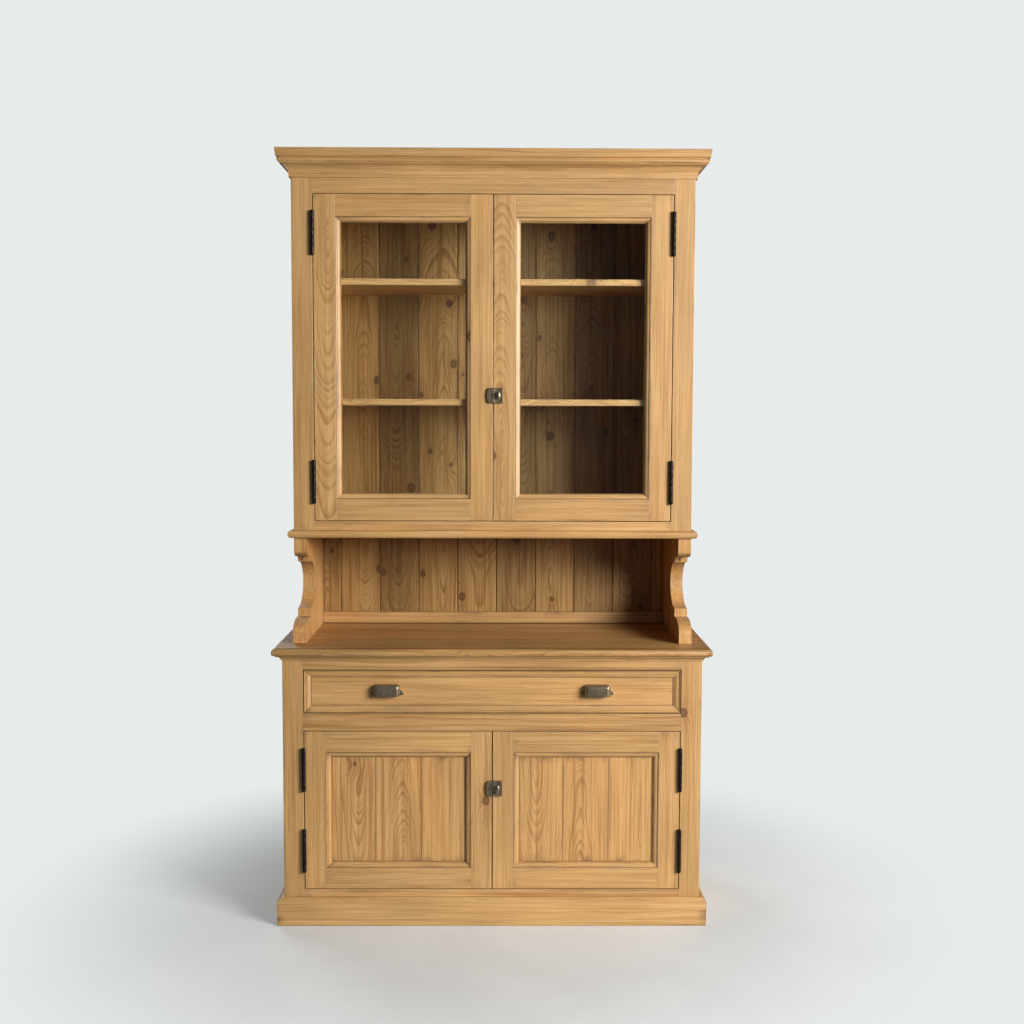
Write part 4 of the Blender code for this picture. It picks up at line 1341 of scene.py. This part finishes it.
def makePulls():
    screw = makeScrew()
    for side in ("left", "right"):
        low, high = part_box("drawer_pull_" + side)
        middle = (low.x + high.x) / 2
        half = pullLook["width"] / 2
        bottom = high.z - pullLook["height"]
        back = high.y
        front = back - pullLook["reach"]
        cup = block("cup", (middle - half, front, bottom), (middle + half, back, high.z))
        pickEdges(cup, lambda a, b: abs(a.z - b.z) > 0.001 and max(a.y, b.y) < front + 0.001)
        bevel(pullLook["corner"], 8)
        pickEdges(cup, lambda a, b: min(a.z, b.z) > high.z - 0.0001 and (a.y + b.y) / 2 < back - 0.0001)
        bevel(pullLook["crown"], 8)
        pickFaces(cup, lambda c, n: n.y > 0.9 or n.z < -0.9)
        bpy.ops.mesh.delete(type="FACE")
        closeMesh()
        grab(cup)
        wall = cup.modifiers.new("wall", "SOLIDIFY")
        wall.thickness = pullLook["wall"]
        wall.offset = -1
        bpy.ops.object.modifier_apply(modifier="wall")
        ears = []
        for sign in (-1, 1):
            root, tip = middle + sign * (half - 0.001), middle + sign * (high.x - middle)
            outline = [(root + sign * x, bottom + z) for x, z in pullLook["earRoot"]]
            outline += [(tip - sign * x, bottom + z) for x, z in pullLook["earTip"]]
            ear = stick("ear", [(x, back - 0.0002, z) for x, z in outline], (0, -0.0014, 0))
            easeEdges(ear, 0.0003, 1)
            ears.append(ear)
        pull = joined(f"drawer_pull_{side}_cup", cup, *ears)
        fitMetal(pull, "drawer", "drawer_pull_" + side, angle=40)
        for sign in (-1, 1):
            spot = (middle + sign * (half + 0.0040), back - 0.0018, bottom + 0.0062)
            piece = another(screw, f"drawer_pull_{side}_screw_{'left' if sign < 0 else 'right'}", spot)
            turned(piece, "Y", dice.uniform(-80, 80), spot)
            dress(piece, brassMetal)
            place(piece, "drawer", "bronze")
    bpy.data.objects.remove(screw)


makeHinges()
makeLatches()
makePulls()
print("hardware made")


# Floor, light and camera

studio = {
    "key": {"place": (3.40, -3.20, 2.10), "aim": (0.0, 0.0, 1.0), "size": (2.1, 1.5), "power": 295},
    "back": {"place": (-2.8, 3.6, 2.6), "aim": (0.0, 0.2, 1.0), "size": (2.5, 2.5), "power": 80},
    "ambient": 0.10,
    "sky": (0.70, 0.82, 0.92),
    "floor": (0.64, 0.652, 0.648),
    "floorPale": (0.70, 0.71, 0.706),
    "floorGlow": 0.16,
    "backdrop": (0.80, 0.835, 0.83),
}


def lamp(name, place, aim, size, power):
    bpy.ops.object.light_add(type="AREA", location=place)
    light = bpy.context.object
    light.name = name
    light.data.shape = "RECTANGLE"
    light.data.size, light.data.size_y = size
    light.data.energy = power
    light.rotation_euler = (Vector(aim) - Vector(place)).to_track_quat("-Z", "Y").to_euler()
    return light


letGo()
for name in ("key", "back"):
    lamp(name + "Light", **studio[name])

world = bpy.data.worlds.new("studioWorld")
bpy.context.scene.world = world
world.use_nodes = True
tree = world.node_tree
shine = tree.nodes["Background"]
shine.inputs["Color"].default_value = (*studio["sky"], 1)
shine.inputs["Strength"].default_value = studio["ambient"]
seen = node(tree, "Background", Color=(*studio["backdrop"], 1), Strength=1.0)
path = node(tree, "LightPath")
bounces = sums(tree, "ADD", path.outputs["Diffuse Depth"], path.outputs["Glossy Depth"])
unlit = sums(tree, "LESS_THAN", bounces, 0.5)
# the backdrop shows through the panes too
through = sums(tree, "MULTIPLY", path.outputs["Is Transmission Ray"], unlit)
plain = sums(tree, "MAXIMUM", path.outputs["Is Camera Ray"], through)
mix = mixShaders(tree, plain, shine, seen)
tree.links.new(mix.outputs[0], tree.nodes["World Output"].inputs["Surface"])

letGo()
bpy.ops.mesh.primitive_circle_add(vertices=96, radius=5.0, fill_type="NGON")
floor = named("studioFloor")
material, tree, shader, spot = newFinish("paleFloor")
dust = node(tree, "TexNoise", Vector=spot, Scale=3.0, Detail=5.0).outputs["Fac"]
colour = blendColours(tree, ease(tree, dust, 0.3, 0.7), studio["floor"], studio["floorPale"])
path = node(tree, "LightPath")
fill(
    tree,
    shader,
    Base_Color=colour,
    Roughness=0.75,
    Specular_IOR_Level=0.2,
    Emission_Color=(*studio["backdrop"], 1),
    Emission_Strength=sums(tree, "MULTIPLY", path.outputs["Is Camera Ray"], studio["floorGlow"]),
)
away = ease(tree, vectorSum(tree, "LENGTH", spot), 0.55, 1.55)  # far off, the floor takes the backdrop's colour
glow = node(tree, "Emission", Color=(*studio["backdrop"], 1), Strength=1.0)
blank = node(tree, "BsdfTransparent")
mix = mixShaders(tree, path.outputs["Is Camera Ray"], blank, glow)
both = mixShaders(tree, away, shader, mix)
tree.links.new(both.outputs[0], tree.nodes["Material Output"].inputs["Surface"])
dress(floor, material)

view = {"place": (0.0210, -3.7724, 1.4250), "right": 0.009, "down": 0.074, "roll": 0.003, "lens": 45.70}


def makeCamera():
    level, fall = math.cos(view["down"]), math.sin(view["down"])
    ahead = Vector((math.sin(view["right"]) * level, math.cos(view["right"]) * level, -fall))
    flat = ahead.cross(Vector((0, 0, 1))).normalized()
    upward = flat.cross(ahead)
    sideways = flat * math.cos(view["roll"]) + upward * math.sin(view["roll"])
    upright = sideways.cross(ahead)
    bpy.ops.object.camera_add(location=view["place"])
    camera = bpy.context.object
    camera.rotation_euler = Matrix((sideways, upright, -ahead)).transposed().to_euler()
    camera.data.lens = view["lens"]
    camera.data.sensor_width = 36
    bpy.context.scene.camera = camera


makeCamera()
bpy.context.scene.view_settings.view_transform = "Standard"
print("studio ready")
